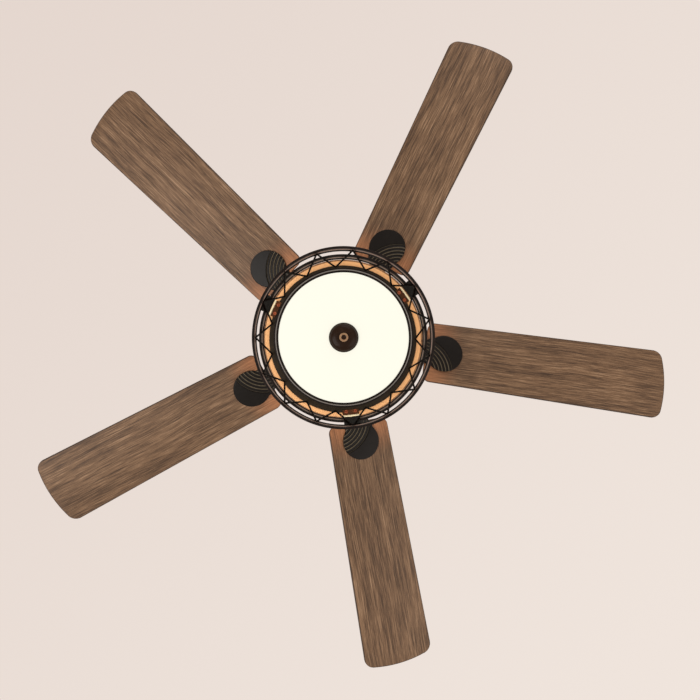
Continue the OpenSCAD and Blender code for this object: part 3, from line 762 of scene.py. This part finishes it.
class Irons(Assembly):
    """Five cast irons, each a strip that twists to the blade's pitch and ends in a round plate."""

    sizes = IronSizes()
    blade = BladeSizes()

    def half_width(self, x: np.ndarray) -> np.ndarray:
        """Half width along the iron: the pad and neck, joined smoothly to the plate's circle.

        The neck is a smooth curve through a few widths and the plate is a circle; the larger of the
        two is taken with a soft maximum, half of a + b + sqrt((a - b)^2 + s^2).
        """
        z = self.sizes
        neck = np.interp(x / MM, [66, 90, 98, 120, 145, 158, 166, 174, 182, 190, 210],
                         [15, 15, 12, 11, 11, 15.5, 22.5, 27, 29, 27, 0]) * MM
        kernel = np.hanning(15)
        neck = np.convolve(np.pad(neck, 7, mode="edge"), kernel / kernel.sum(), "valid")
        circle = np.sqrt(np.maximum(z.plate_r**2 - (x - z.plate_x) ** 2, 0.0))
        circle = np.where(x < z.plate_x - z.plate_r, 0.0, circle)
        return np.where(x > z.plate_x, circle, np.maximum(neck, circle))

    def flutes(self, x: np.ndarray, y: np.ndarray) -> tuple[np.ndarray, np.ndarray]:
        """Grooves on the underside, and the narrow ridges between them.

        The grooves follow circles about a point off the plate, on its hub side. With t the number of
        groove widths out from the first circle, the groove is |sin(pi t)|^0.6 deep and the ridge is
        (1 - |sin(pi t)|)^4 high, between the circles at one and a bit before the first and the last.

        Args:
            x: distance from the fan's axis along the iron.
            y: distance across it.

        Returns:
            Groove depth and ridge height, both from 0 to 1.
        """
        z = self.sizes
        local_x, local_y = (x - z.plate_x) / z.plate_r, y / z.plate_r
        ring = np.hypot(local_x - z.flute_centre[0], local_y - z.flute_centre[1]) - z.flute_start
        turns = ring / z.flute_gap
        inside = np.clip((turns + 1.25) / 0.3, 0, 1) * np.clip((z.flutes - turns) / 0.1, 0, 1)
        rim = np.clip((0.985 - np.hypot(local_x, local_y)) / 0.04, 0, 1)
        rim = np.where(local_x < -0.6, np.clip((local_x + 1.12) / 0.2, 0, 1), rim)
        wave = np.abs(np.sin(math.pi * turns))
        return wave**0.6 * inside * rim, (1 - wave) ** 4 * inside * rim

    def relief(self, x: np.ndarray, y: np.ndarray) -> np.ndarray:
        """How far the underside stands proud of a flat plate, in metres: a low crown less the flutes.

        The crown falls away as the square of the distance from the plate's middle.
        """
        z = self.sizes
        away = np.hypot(x - z.plate_x, y) / z.plate_r
        crown = z.crown * np.clip(1 - away**2, 0, 1) * np.clip((0.99 - away) / 0.07, 0, 1)
        return crown - z.flute_depth * self.flutes(x, y)[0]

    def iron(self, k: int) -> bpy.types.Object:
        """Builds one iron as a tube of rounded sections carried along its length.

        Each section has an underside and a top between two rounded edges. Its middle falls from the
        flywheel to the blade, and it rolls from level to the blade's pitch over the same stretch.
        """
        z, b = self.sizes, self.blade
        share = (1 - np.cos(np.linspace(0, math.pi, z.stations))) / 2
        end = z.plate_x + z.plate_r
        x = z.start + (end - z.start) * share
        half = self.half_width(x)
        half[-1] = 0.0
        fly = low("flywheel")[2]
        fall = np.clip((x - z.pad_end) / (z.reach - z.pad_end), 0, 1)
        fall = fall * fall * (3 - 2 * fall)
        pitch = math.radians(b.pitch) * fall
        drop = b.thick / 2 + z.thick / 2
        mid_z = (fly - z.thick / 2) * (1 - fall) + (b.middle - drop * math.cos(math.radians(b.pitch))) * fall
        mid_y = -drop * math.sin(math.radians(b.pitch)) * fall
        r = np.minimum(1.4 * MM, half * 0.9)
        flat = np.linspace(-1, 1, z.across)
        bend = np.radians(np.linspace(0, 90, 6))[None, :]
        edge = (half - r)[:, None]
        under_y = edge * flat[None, :]
        under_z = -z.thick / 2 - self.relief(np.broadcast_to(x[:, None], under_y.shape), under_y)
        side_y = edge + r[:, None] * np.sin(bend)
        side_z = r[:, None] * np.cos(bend) - r[:, None]
        low_side = -z.thick / 2 - side_z
        top_side = (z.thick / 2 + side_z)[:, ::-1]
        y = np.concatenate([under_y, side_y[:, 1:], side_y[:, ::-1][:, :-1], under_y[:, ::-1],
                            -side_y[:, 1:], -side_y[:, ::-1][:, :-1]], 1)
        h = np.concatenate([under_z, low_side[:, 1:], top_side[:, :-1], np.full_like(under_z, z.thick / 2),
                            top_side[:, ::-1][:, 1:], low_side[:, ::-1][:, :-1]], 1)
        world_y = mid_y[:, None] + y * np.cos(pitch)[:, None] + h * np.sin(pitch)[:, None]
        world_z = mid_z[:, None] - y * np.sin(pitch)[:, None] + h * np.cos(pitch)[:, None]
        ring = np.stack([np.broadcast_to(x[:, None], y.shape), world_y, world_z], -1)
        cap = ring[:1].mean(1, keepdims=True) + np.zeros_like(ring[:1])
        points = np.concatenate([cap, ring]).reshape(-1, 3)
        piece = mesh_piece(f"iron_{k + 1}", points, grid_faces(z.stations + 1, y.shape[1], False, True), 40.0)
        self.mark_ridges(piece)
        piece.data.transform(Matrix.Rotation(math.radians(b.first + 360 * k / b.count), 4, "Z"))
        return piece

    def mark_ridges(self, piece: bpy.types.Object) -> None:
        """Stores the height of the ridges on the points of an iron that lies along +X, for a painted highlight along
        them.
        """
        x, y, z = spots(piece).T
        pitch = math.radians(self.blade.pitch)
        y_flat = y / math.cos(pitch)
        under = z < self.blade.middle - y_flat * math.sin(pitch) - self.blade.thick / 2 - self.sizes.thick / 2
        stamp(piece, "ridge", np.where(under, self.flutes(x, y_flat)[1], 0.0))

    def build(self) -> None:
        """Builds the five irons."""
        for k in range(self.blade.count):
            self.fit(self.iron(k), Body.ROTOR, "iron_bronze", f"blade_iron_{k + 1}")


# ---------------------------------------------------------------- cage


@dataclass(frozen=True)
class CageSizes:
    """Sizes of the tapered cage round the shade."""

    edge_z: float = -446.3 * MM
    edge_r: float = 158.45 * MM
    slope: float = 0.17
    sheet: float = 1.6 * MM
    bead: float = 1.9 * MM
    rib: float = 0.4 * MM
    lower: tuple[float, float] = (0.0, 17 * MM)
    upper: tuple[float, float] = (45 * MM, 63.5 * MM)
    points: int = 15
    first: float = 84.0
    low_r: float = 153.85 * MM
    low_z: float = -445.7 * MM
    top_r: float = 136.7 * MM
    top_z: float = -345.5 * MM
    wire: float = 1.7 * MM
    bend: float = 0.03
    ring_in: float = 124 * MM
    ring_t: float = 3.5 * MM
    flange_in: float = 139.7 * MM
    flange_t: float = 1.6 * MM
    strip_in: float = 144.2 * MM
    strip_w: float = 3.7 * MM
    strip_t: float = 0.75 * MM
    strap_w: float = 31 * MM
    lug_screw_r: float = 137.5 * MM
    lug_screw_y: float = 8.6 * MM


class Cage(Assembly):
    """Two sloping bands, a zigzag lattice, the ring at its top and the flange behind it, whose bright colour is painted
    lamp light.
    """

    sizes = CageSizes()

    def band(self, name: str, span: tuple[float, float]) -> bpy.types.Object:
        """Builds a band: a sheet between two round beads, turned round the axis.

        The profile runs round the lower bead from its inner to its outer side, up the outer face,
        round the upper bead and down the inner face over a low rib. The attribute "ridge" is 1 along
        the middle of the inner face, for a painted highlight: a thin pale line in the dark coat.
        """
        z = self.sizes
        ends = [(z.edge_r - z.slope * t, z.edge_z + t) for t in span]
        cut = math.degrees(math.asin(z.sheet / 2 / z.bead))
        lower = bead(ends[0], z.bead, 90 + cut, 450 - cut, 18)
        upper = bead(ends[1], z.bead, -90 + cut, 270 - cut, 18)
        share = np.array([[0.15], [0.3], [0.42], [0.5], [0.58], [0.7], [0.85]])
        inner = upper[-1] * (1 - share) + lower[0] * share
        inner[:, 0] -= z.rib * np.sin(math.pi * share[:, 0]) ** 2
        piece = lathe(name, np.concatenate([lower, upper, inner]), True)
        x, y, height = spots(piece).T
        skin = z.edge_r - z.slope * (height - z.edge_z)
        t = (height - ends[0][1]) / (ends[1][1] - ends[0][1])
        # painted highlight line along the middle of the inner face
        stamp(piece, "ridge", (np.hypot(x, y) < skin) & (t > 0.38) & (t < 0.62))
        return piece

    def lattice(self) -> bpy.types.Object:
        """Builds the zigzag of wire as one closed tube.

        The wire's line joins low and top corners in turn. Near a corner it follows the quadratic
        curve between the points a small share of the leg before and after it. The tube's section is
        a circle in the plane of the outward direction and its cross product with the wire.
        """
        z = self.sizes
        k = np.arange(2 * z.points)
        angle = np.radians(z.first + 180.0 / z.points * k)
        top = k % 2 == 1
        radius, height = np.where(top, z.top_r, z.low_r), np.where(top, z.top_z, z.low_z)
        corner = np.stack([radius * np.cos(angle), radius * np.sin(angle), height], -1)
        before, after = np.roll(corner, 1, 0), np.roll(corner, -1, 0)
        t = np.linspace(0, 1, 7)[None, :, None]
        a = (corner + (before - corner) * z.bend)[:, None]
        b = (corner + (after - corner) * z.bend)[:, None]
        line = ((1 - t) ** 2 * a + 2 * t * (1 - t) * corner[:, None] + t**2 * b).reshape(-1, 3)
        ahead = np.roll(line, -1, 0) - np.roll(line, 1, 0)
        ahead /= np.linalg.norm(ahead, axis=1, keepdims=True)
        out = line * np.array([1.0, 1.0, 0.0])
        out -= ahead * (out * ahead).sum(1, keepdims=True)
        out /= np.linalg.norm(out, axis=1, keepdims=True)
        across = np.cross(ahead, out)
        turn = np.arange(14) / 14 * TURN
        points = line[:, None] + z.wire * (np.cos(turn)[None, :, None] * out[:, None]
                                           + np.sin(turn)[None, :, None] * across[:, None])
        return mesh_piece("lattice_wire", points.reshape(-1, 3), grid_faces(len(line), 14, True, True), 80.0)

    def ring(self, name: str, node: str, inner: float, thick: float, soft: float, shade: float) -> bpy.types.Object:
        """Builds a flat ring with softened edges, hung from the top of a CAD node's box.

        Args:
            name: the piece's name.
            node: the CAD node it stands for.
            inner: radius of the hole.
            thick: the sheet's thickness.
            soft: radius of its edges.
            shade: width of the outer border where "ridge" is 1, for a painted shade in the finish's second colour.

        Returns:
            The ring.
        """
        outer, z1 = high(node)[0], high(node)[2]
        border = outer - shade - soft
        foot = [(r, z1 - thick) for r in (inner, border - 1.0 * MM, border, outer)]
        piece = lathe(name, softened([*foot, (outer, z1), (inner, z1)], soft), True)
        x, y, _ = spots(piece).T
        # painted shade on the outer border, for finishes that read "ridge"
        stamp(piece, "ridge", np.hypot(x, y) > border - 0.1 * MM)
        return piece

    def strips(self) -> bpy.types.Object:
        """Builds the three edge strips under the flange: each is a rounded bar across an arm, its near-white colour a
        painted highlight of lamp light.

        The section across the radius is a flat-backed half ellipse, and its height shrinks to nothing
        over the last bit of the bar as the root of 1 - p^4, with p from -1 to 1 along it.
        """
        z = self.sizes
        p = np.sin(np.linspace(-math.pi / 2, math.pi / 2, 25))
        bend = np.radians(np.linspace(180, 360, 13))
        deep = np.sqrt(np.maximum(1 - p**4, 0.0))[:, None]
        x = z.strip_in + z.strip_w / 2 + z.strip_w / 2 * np.cos(bend)[None] * (0.75 + 0.25 * deep)
        drop = z.strip_t * np.sin(bend)[None] * deep
        under = high("kit_flange")[2] - z.flange_t
        one = np.stack([x, np.broadcast_to(p[:, None] * z.strap_w / 2, x.shape), under + drop], -1).reshape(-1, 3)
        turns = [np.array(Matrix.Rotation(math.radians(z.first + 120 * k), 4, "Z")) for k in range(3)]
        faces = grid_faces(len(p), len(bend), False, True)
        shift = np.arange(3)[:, None, None] * len(one)
        return mesh_piece("edge_strips", np.concatenate([moved(one, turn) for turn in turns]),
                          (faces[None] + shift).reshape(-1, 4))

    def build(self) -> None:
        """Builds and dresses the cage."""
        z = self.sizes
        self.fit(self.band("lower_band", z.lower), Body.HANGING, "cage_bronze", "cage_lower_band",
                 finish="cage_sheet")
        self.fit(self.band("upper_band", z.upper), Body.HANGING, "cage_bronze", "cage_upper_band",
                 finish="cage_sheet")
        self.fit(self.lattice(), Body.HANGING, "cage_bronze", "cage_lattice")
        # The top ring's olive tone is painted lamp light.
        self.fit(self.ring("top_ring", "cage_top_ring", z.ring_in, z.ring_t, 1.0 * MM, 0.0), Body.HANGING,
                 "cage_bronze", "cage_top_ring", finish="lamp_lit_ring")
        # The flange's bright colour is painted lamp light; its darker outer border is painted shade.
        self.fit(self.ring("warm_flange", "kit_flange", z.flange_in, z.flange_t, 0.4 * MM, 2.6 * MM), Body.HANGING,
                 "warm_flange", "kit_flange")
        self.fit(self.strips(), Body.HANGING, "warm_flange", finish="lamp_lit_edge_highlight")
        self.keep("cage_bronze", "cage_bridges")
        self.keep("lug_brown", "arm_lugs")
        self.keep("dark_bronze", "kit_arms")


# ---------------------------------------------------------------- shade


class Shade(Assembly):
    """The glass drum, its diffuser and rim, the finial, and the lamps inside."""

    def drum(self) -> bpy.types.Object:
        """Builds the glass wall, its two edges fire polished."""
        outer, z0, z1 = high("glass_drum")[0], low("glass_drum")[2], high("glass_drum")[2]
        inner = outer - 3.4 * MM
        return lathe("drum_wall", softened([(inner, z0), (outer, z0), (outer, z1), (inner, z1)], 1.6 * MM, 6), True)

    def disc(self) -> bpy.types.Object:
        """Builds the diffuser: a flat disc with rounded edges and a hole for the rod."""
        outer, z0, z1 = high("diffuser")[0], low("diffuser")[2], high("diffuser")[2]
        hole = 5.2 * MM
        return lathe("diffuser_disc", softened([(hole, z0), (outer, z0), (outer, z1), (hole, z1)], 0.9 * MM, 5), True)

    def rim(self) -> bpy.types.Object:
        """Builds the rim: a lipped channel with a bead at its inner edge, outer corner and top.

        The profile goes from the lip's inner bead along the foot to the outer bead, up the wall, over
        its rolled top, in to the glass and back down inside.
        """
        bottom, top = low("shade_rim")[2] + 1.1 * MM, high("shade_rim")[2]
        lip, glass, wall = 113.7 * MM, 117.1 * MM, 119 * MM
        outline = np.concatenate([
            bead((lip + 0.8 * MM, bottom + 0.8 * MM), 0.8 * MM, 90, 270, 8),
            bead((120.7 * MM, bottom + 1.2 * MM), 1.3 * MM, -70, 80, 10),
            bead((119.9 * MM, top - 0.9 * MM), 0.9 * MM, 0, 180, 10),
            [(glass, top - 0.9 * MM), (glass, top - 2.4 * MM), (wall, top - 2.4 * MM),
             (wall, bottom + 1.6 * MM)],
        ])
        return lathe("shade_rim_ring", outline, True)

    def rim_line(self) -> bpy.types.Object:
        """Builds the bright line under the rim's foot, a painted highlight on the rounded rim: a half round on a flat
        back.
        """
        z = low("shade_rim")[2] + 1.1 * MM
        return lathe("rim_line", bead((118.2 * MM, z), 1.0 * MM, 180, 360, 10), True)

    def finial(self) -> bpy.types.Object:
        """Builds the finial: a shallow dish that swells into a neck and a button with a dimple.

        The profile starts on the axis at the top, goes out to a rounded edge, in along a quarter of
        an ellipse, round the neck's fillet and the button's edge, and back to the axis. The
        attribute "ridge" is 1 on the button's rim, for a painted highlight there.
        """
        top, bottom, r = high("finial")[2], low("finial")[2], high("finial")[0]
        knob = 7.8 * MM
        neck_z = top - 10 * MM
        dish = quarter((knob, top - 2 * MM), r - 2 * MM - knob, neck_z - top + 2 * MM, 12, 88, 26)
        outline = np.concatenate([
            [(0.0, top), (r - 1.6 * MM, top)],
            bead((r - 1.0 * MM, top - 1.0 * MM), 1.0 * MM, 80, -50, 8),
            dish,
            bead((knob - 1.3 * MM, bottom + 1.3 * MM), 1.3 * MM, 60, -90, 10),
            quarter((0.0, bottom), 4.6 * MM, 1.2 * MM, 0, 90, 8)[1:],
        ])
        piece = lathe("finial_turned", outline, False, 160)
        x, y, height = spots(piece).T
        away = np.hypot(x, y)
        stamp(piece, "ridge", (away > 4.4 * MM) & (away < knob) & (height < bottom + 2 * MM))
        return piece

    def bulbs(self) -> bpy.types.Object:
        """Builds the three lamps: a ball that narrows to its cap, each turned about its own axis."""
        top, bottom = high("bulbs")[2], low("bulbs")[2]
        ball = 24 * MM
        outline = np.concatenate([[(0.0, top), (13.0 * MM, top), (13.4 * MM, top - 5 * MM)],
                                  quarter((0.0, bottom + ball), ball, ball, 38, -90, 26)])
        turn = np.arange(48) / 48 * TURN
        one = np.stack([outline[:, 0] * np.cos(turn)[:, None], outline[:, 0] * np.sin(turn)[:, None],
                        np.broadcast_to(outline[:, 1], (48, len(outline)))], -1).reshape(-1, 3)
        place = np.radians(144.0 + 120.0 * np.arange(3))
        shift = 62 * MM * np.stack([np.cos(place), np.sin(place), np.zeros(3)], -1)
        points = (one[None] + shift[:, None]).reshape(-1, 3)
        face = grid_faces(48, len(outline), True, False)
        faces = (face[None] + np.arange(3)[:, None, None] * len(one)).reshape(-1, 4)
        return mesh_piece("lamps", points, faces)

    def build(self) -> None:
        """Builds and dresses the shade."""
        self.fit(self.drum(), Body.HANGING, "frosted_glass", "glass_drum")
        self.fit(self.disc(), Body.HANGING, "frosted_glass", "diffuser")
        self.fit(self.rim(), Body.HANGING, "dark_bronze", "shade_rim", finish="rim_black")
        self.fit(self.rim_line(), Body.HANGING, "dark_bronze", finish="rim_painted_highlight")
        self.fit(self.finial(), Body.FINIAL, "finial_bronze", "finial")
        self.fit(self.bulbs(), Body.HANGING, "lamp_glass", "bulbs")
        self.keep("porcelain", "lampholders")
        self.keep("zinc_steel", "bulb_caps", "centre_rod")
        self.keep("gasket_rubber", "drum_gasket", "finial_washer")
        self.keep("dark_bronze", "kit_pan")


# ---------------------------------------------------------------- motor and ceiling fitting


@dataclass(frozen=True)
class ShellSizes:
    """Sizes of the spun covers above the blades."""

    skin: float = 1.5 * MM
    shoulder: float = 42 * MM
    drop: float = 30 * MM
    hole: float = 16.2 * MM
    groove: float = 0.7 * MM


class Covers(Assembly):
    """Motor housing, coupling cover and canopy: spun shells with turned lines."""

    sizes = ShellSizes()

    def housing(self) -> bpy.types.Object:
        """Builds the motor housing.

        Outside, a flat crown turns through a quarter of an ellipse into a straight wall with two
        turned grooves and a rolled foot; inside, the same curve lies one skin further in.
        """
        z = self.sizes
        r, top, end = high("motor_housing")[0], high("motor_housing")[2], low("motor_housing")[2]
        crown = quarter((z.shoulder, top - z.drop), r - z.shoulder, z.drop, 90, 0, 40)
        wall_top = top - z.drop
        lines = [wall_top - 7 * MM, wall_top - 11 * MM]
        grooves = np.concatenate([bead((r + 0.15 * MM, line), z.groove, 125, 235, 6) for line in lines])
        grooves[:, 0] = np.minimum(grooves[:, 0], r)
        foot = bead((r - z.skin / 2, end + z.skin / 2), z.skin / 2, 0, -180, 8)
        inner = quarter((z.shoulder, top - z.drop), r - z.shoulder - z.skin, z.drop - z.skin, 0, 90, 40)
        outline = np.concatenate([[(z.hole, top)], crown, grooves, foot, inner, [(z.hole, top - z.skin)]])
        return lathe("housing_shell", outline, True)

    def coupling(self) -> bpy.types.Object:
        """Builds the coupling cover: a bell, one quarter of an ellipse outside and one inside."""
        top, base, r = high("coupling_cover")[2], low("coupling_cover")[2], high("coupling_cover")[0]
        skin, hole = 1.2 * MM, 11.35 * MM
        rise = top - base
        outer = quarter((13 * MM, base), r - 13 * MM, rise, 0, 90, 32)
        inner = quarter((13 * MM, base), r - 13 * MM - skin, rise - skin, 90, 0, 32)
        lip = [(hole, top), (hole, top - skin)]
        return lathe("coupling_bell", np.concatenate([outer, lip, inner]), True, 180)

    def canopy(self) -> bpy.types.Object:
        """Builds the canopy: a skirt, a turned line, and a quarter of an ellipse down to its hole."""
        r, base, end = high("canopy")[0], high("canopy")[2], low("canopy")[2]
        skin, hole, shoulder, skirt = 1.2 * MM, 26 * MM, 30 * MM, 22 * MM
        turn = -end - skirt
        outer = quarter((shoulder, -skirt), r - shoulder, turn, 0, -90, 36)
        line = bead((r + 0.15 * MM, -skirt + 3 * MM), self.sizes.groove, 235, 125, 6)[::-1]
        line[:, 0] = np.minimum(line[:, 0], r)
        inner = quarter((shoulder, -skirt), r - shoulder - skin, turn - skin, -90, 0, 36)
        outline = np.concatenate([[(r - skin, base), (r, base)], line, outer, [(hole, end), (hole, end + skin)], inner])
        return lathe("canopy_shell", outline, True)

    def build(self) -> None:
        """Builds and dresses the covers and what is inside them."""
        self.fit(self.housing(), Body.HANGING, "dark_bronze", "motor_housing")
        self.fit(self.coupling(), Body.HANGING, "dark_bronze", "coupling_cover")
        self.fit(self.canopy(), Body.CEILING, "dark_bronze", "canopy")
        self.keep("dark_bronze", "downrod", "switch_housing")
        self.keep("zinc_steel", "hanger_bracket", "ball_pin", "coupling_pin", "coupling_clip", "housing_screws",
                  "switch_plate", "iron_screws", "shell_screws")
        self.keep("bright_steel", "motor_shaft", "upper_bearing", "lower_bearing")
        self.keep("cast_shell", "motor_collar", "rotor_top_shell", "rotor_bottom_shell")
        self.keep("lamination", "stator_core", "rotor_ring")
        self.keep("copper_wire", "stator_windings")
        self.keep("nylon", "hanger_ball")
        self.keep("black_plastic", "receiver_box", "capacitor", "reverse_switch")
        self.keep("white_plastic", "reverse_knob")
        self.keep("gasket_rubber", "flywheel")


# ---------------------------------------------------------------- fasteners


@dataclass(frozen=True)
class HeadSizes:
    """A domed screw head with a cross recess, over an optional washer, head side along +Z."""

    radius: float
    height: float
    washer: float = 0.0
    washer_t: float = 0.9 * MM


class Fasteners(Assembly):
    """Domed heads where screws show."""

    def head(self, z: HeadSizes) -> tuple[np.ndarray, np.ndarray]:
        """One head on a polar grid.

        The dome's height is h (1 - p^2.6) at a share p of its radius, less a recess where the point
        lies within the arms of a cross; a flat washer may lie under it.

        Args:
            z: the head's sizes.

        Returns:
            Points and faces, closed below.
        """
        share = np.array([0.0, 0.12, 0.24, 0.26, 0.45, 0.6, 0.75, 0.88, 0.96, 1.0])
        turn = np.arange(32) / 32 * TURN
        x, y = np.cos(turn)[:, None] * share, np.sin(turn)[:, None] * share
        dome = z.height * (1 - share**2.6)[None] * 0.85 + z.height * 0.15
        arm = (np.minimum(np.abs(x), np.abs(y)) < 0.11) & (np.hypot(x, y) < 0.55)
        dome = dome - np.where(arm, 0.45 * z.height, 0.0)
        top = np.stack([x * z.radius, y * z.radius, dome], -1)
        ring = np.stack([np.cos(turn), np.sin(turn)], -1)
        loops = [(z.radius, 0.0)]
        if z.washer:
            loops += [(z.washer, 0.0), (z.washer, -z.washer_t)]
        loops.append((0.0, loops[-1][1]))
        skirt = [np.concatenate([ring * r, np.full((32, 1), h)], 1)[:, None] for r, h in loops]
        points = np.concatenate([top, *skirt], 1)
        return points.reshape(-1, 3), grid_faces(32, points.shape[1], True, False)

    def many(self, name: str, z: HeadSizes, seats: Iterable[Matrix]) -> bpy.types.Object:
        """Builds a set of equal heads, one at each seat."""
        one, face = self.head(z)
        placed = [moved(one, np.array(seat)) for seat in seats]
        shift = np.arange(len(placed))[:, None, None] * len(one)
        return mesh_piece(name, np.concatenate(placed), (face[None] + shift).reshape(-1, 4), 30.0)

    def build(self) -> None:
        """Builds the heads on the blades, canopy and lugs."""
        b = BladeSizes()
        tops = [Matrix(b.seat(k).tolist()) @ Matrix.Translation((x * MM, y * MM, b.thick / 2 + 1.0 * MM))
                for k in range(b.count) for x, y in ((192, -16), (192, 16), (222, 0))]
        self.fit(self.many("blade_screw_heads", HeadSizes(4.4 * MM, 2.2 * MM, 6.2 * MM), tops), Body.ROTOR,
                 "dark_bronze", "blade_screws")
        sides = [Matrix.Rotation(a, 4, "Z") @ Matrix.Translation((high("canopy")[0], 0, -13 * MM))
                 @ Matrix.Rotation(math.pi / 2, 4, "Y") for a in (0.0, math.pi)]
        self.fit(self.many("canopy_screw_heads", HeadSizes(4.2 * MM, 2.4 * MM), sides), Body.CEILING,
                 "dark_bronze", "canopy_screws")
        c = CageSizes()
        lugs = [Matrix.Rotation(math.radians(c.first + 120 * k), 4, "Z")
                @ Matrix.Translation((c.lug_screw_r, y, low("arm_lugs")[2]))
                @ Matrix.Rotation(math.pi, 4, "X") for k in range(3) for y in (-c.lug_screw_y, c.lug_screw_y)]
        self.fit(self.many("lug_screw_heads", HeadSizes(3.1 * MM, 1.6 * MM), lugs), Body.HANGING,
                 "brass_screw", "lug_screws")


# ---------------------------------------------------------------- studio


@dataclass(frozen=True)
class Lamp:
    """A soft square light and where it points from."""

    name: str
    place: tuple[float, float, float]
    size: float
    power: float
    colour: Colour


class Studio:
    """Pale surroundings, soft lights, a floor well below and the camera that looks up."""

    sky_low: Colour = tone(228, 214, 206)
    sky_high: Colour = tone(240, 229, 221)
    sky_span: float = 0.9
    target: tuple[float, float, float] = (0.0, 0.0, -0.3)
    eye: tuple[float, float, float] = (-0.0130, 0.0316, -1.6704)
    tilt: tuple[float, float] = (-0.461, -1.126)
    lens: float = 36.0
    floor_z: float = -3.3
    floor_half: float = 9.0
    lamps = (
        Lamp("key", (-1.5, 0.7, -2.3), 1.6, 30.0, (1.0, 0.97, 0.94)),
        Lamp("fill", (1.7, 0.9, -2.0), 1.8, 14.0, (1.0, 0.96, 0.92)),
        Lamp("back", (0.4, -1.9, -1.4), 1.4, 10.0, (1.0, 0.97, 0.95)),
    )

    def world(self) -> None:
        """Fills the surroundings with a pale tone that lightens to one side."""
        world = bpy.data.worlds.new("pale")
        bpy.context.scene.world = world
        s = Shader(world.name, world)
        x, y, _ = s.axes(s.out(s.node("ShaderNodeTexCoord"), "Generated"))
        share = s.out(s.node("ShaderNodeMapRange", None, {0: x + y, 1: -self.sky_span, 2: self.sky_span}))
        sky = s.ramp(share, [(0.0, self.sky_low), (1.0, self.sky_high)])
        s.node("ShaderNodeOutputWorld", None, {0: s.out(s.node("ShaderNodeBackground", None, {0: sky}))})

    def lights(self) -> None:
        """Places the soft lights, each aimed at the shade."""
        target = Vector(self.target)
        for lamp in self.lamps:
            data = bpy.data.lights.new(lamp.name, "AREA")
            data.size, data.energy, data.color = lamp.size, lamp.power, lamp.colour
            light = bpy.data.objects.new(lamp.name, data)
            light.location = lamp.place
            light.rotation_mode = "QUATERNION"
            light.rotation_quaternion = (target - Vector(lamp.place)).to_track_quat("-Z", "Y")
            bpy.context.scene.collection.objects.link(light)

    def floor(self) -> None:
        """Lays the pale floor below the camera's place."""
        s = Shader("pale_floor")
        speck = s.noise(s.place(), 3.0, 3.0)
        material = s.surface({"Base Color": s.mix(speck, tone(232, 222, 214), tone(238, 229, 222)), "Roughness": 0.8})
        signs = np.array([[-1, -1], [1, -1], [1, 1], [-1, 1]])
        corners = np.concatenate([signs * self.floor_half, np.full((4, 1), self.floor_z)], 1)
        ground = mesh_piece("floor", corners, np.array([[0, 1, 2, 3]]))
        ground.data.materials.append(material)

    def camera(self) -> None:
        """Hangs the camera under the fan, looking up, with +X to its right and +Y down."""
        data = bpy.data.cameras.new("camera")
        data.sensor_width = data.lens = self.lens
        camera = bpy.data.objects.new("camera", data)
        tip_x, tip_y = (math.radians(angle) for angle in self.tilt)
        tip = Matrix.Rotation(tip_x, 3, "X") @ Matrix.Rotation(tip_y, 3, "Y")
        axes = tip.transposed() @ Matrix.Diagonal((1, -1, -1))
        camera.matrix_world = Matrix.Translation(self.eye) @ axes.to_4x4()
        bpy.context.scene.collection.objects.link(camera)
        bpy.context.scene.camera = camera

    def build(self) -> None:
        """Sets up everything round the fan."""
        bpy.context.scene.view_settings.view_transform = "Standard"
        self.camera()
        self.world()
        self.lights()
        self.floor()


def main() -> None:
    """Builds the studio and the fan."""
    logging.basicConfig(level=logging.INFO, format="%(message)s")
    Studio().build()
    paints = Paintbox()
    for part in (Blades(paints), Irons(paints), Cage(paints), Shade(paints), Covers(paints), Fasteners(paints)):
        part.build()


if __name__ == "__main__":
    main()
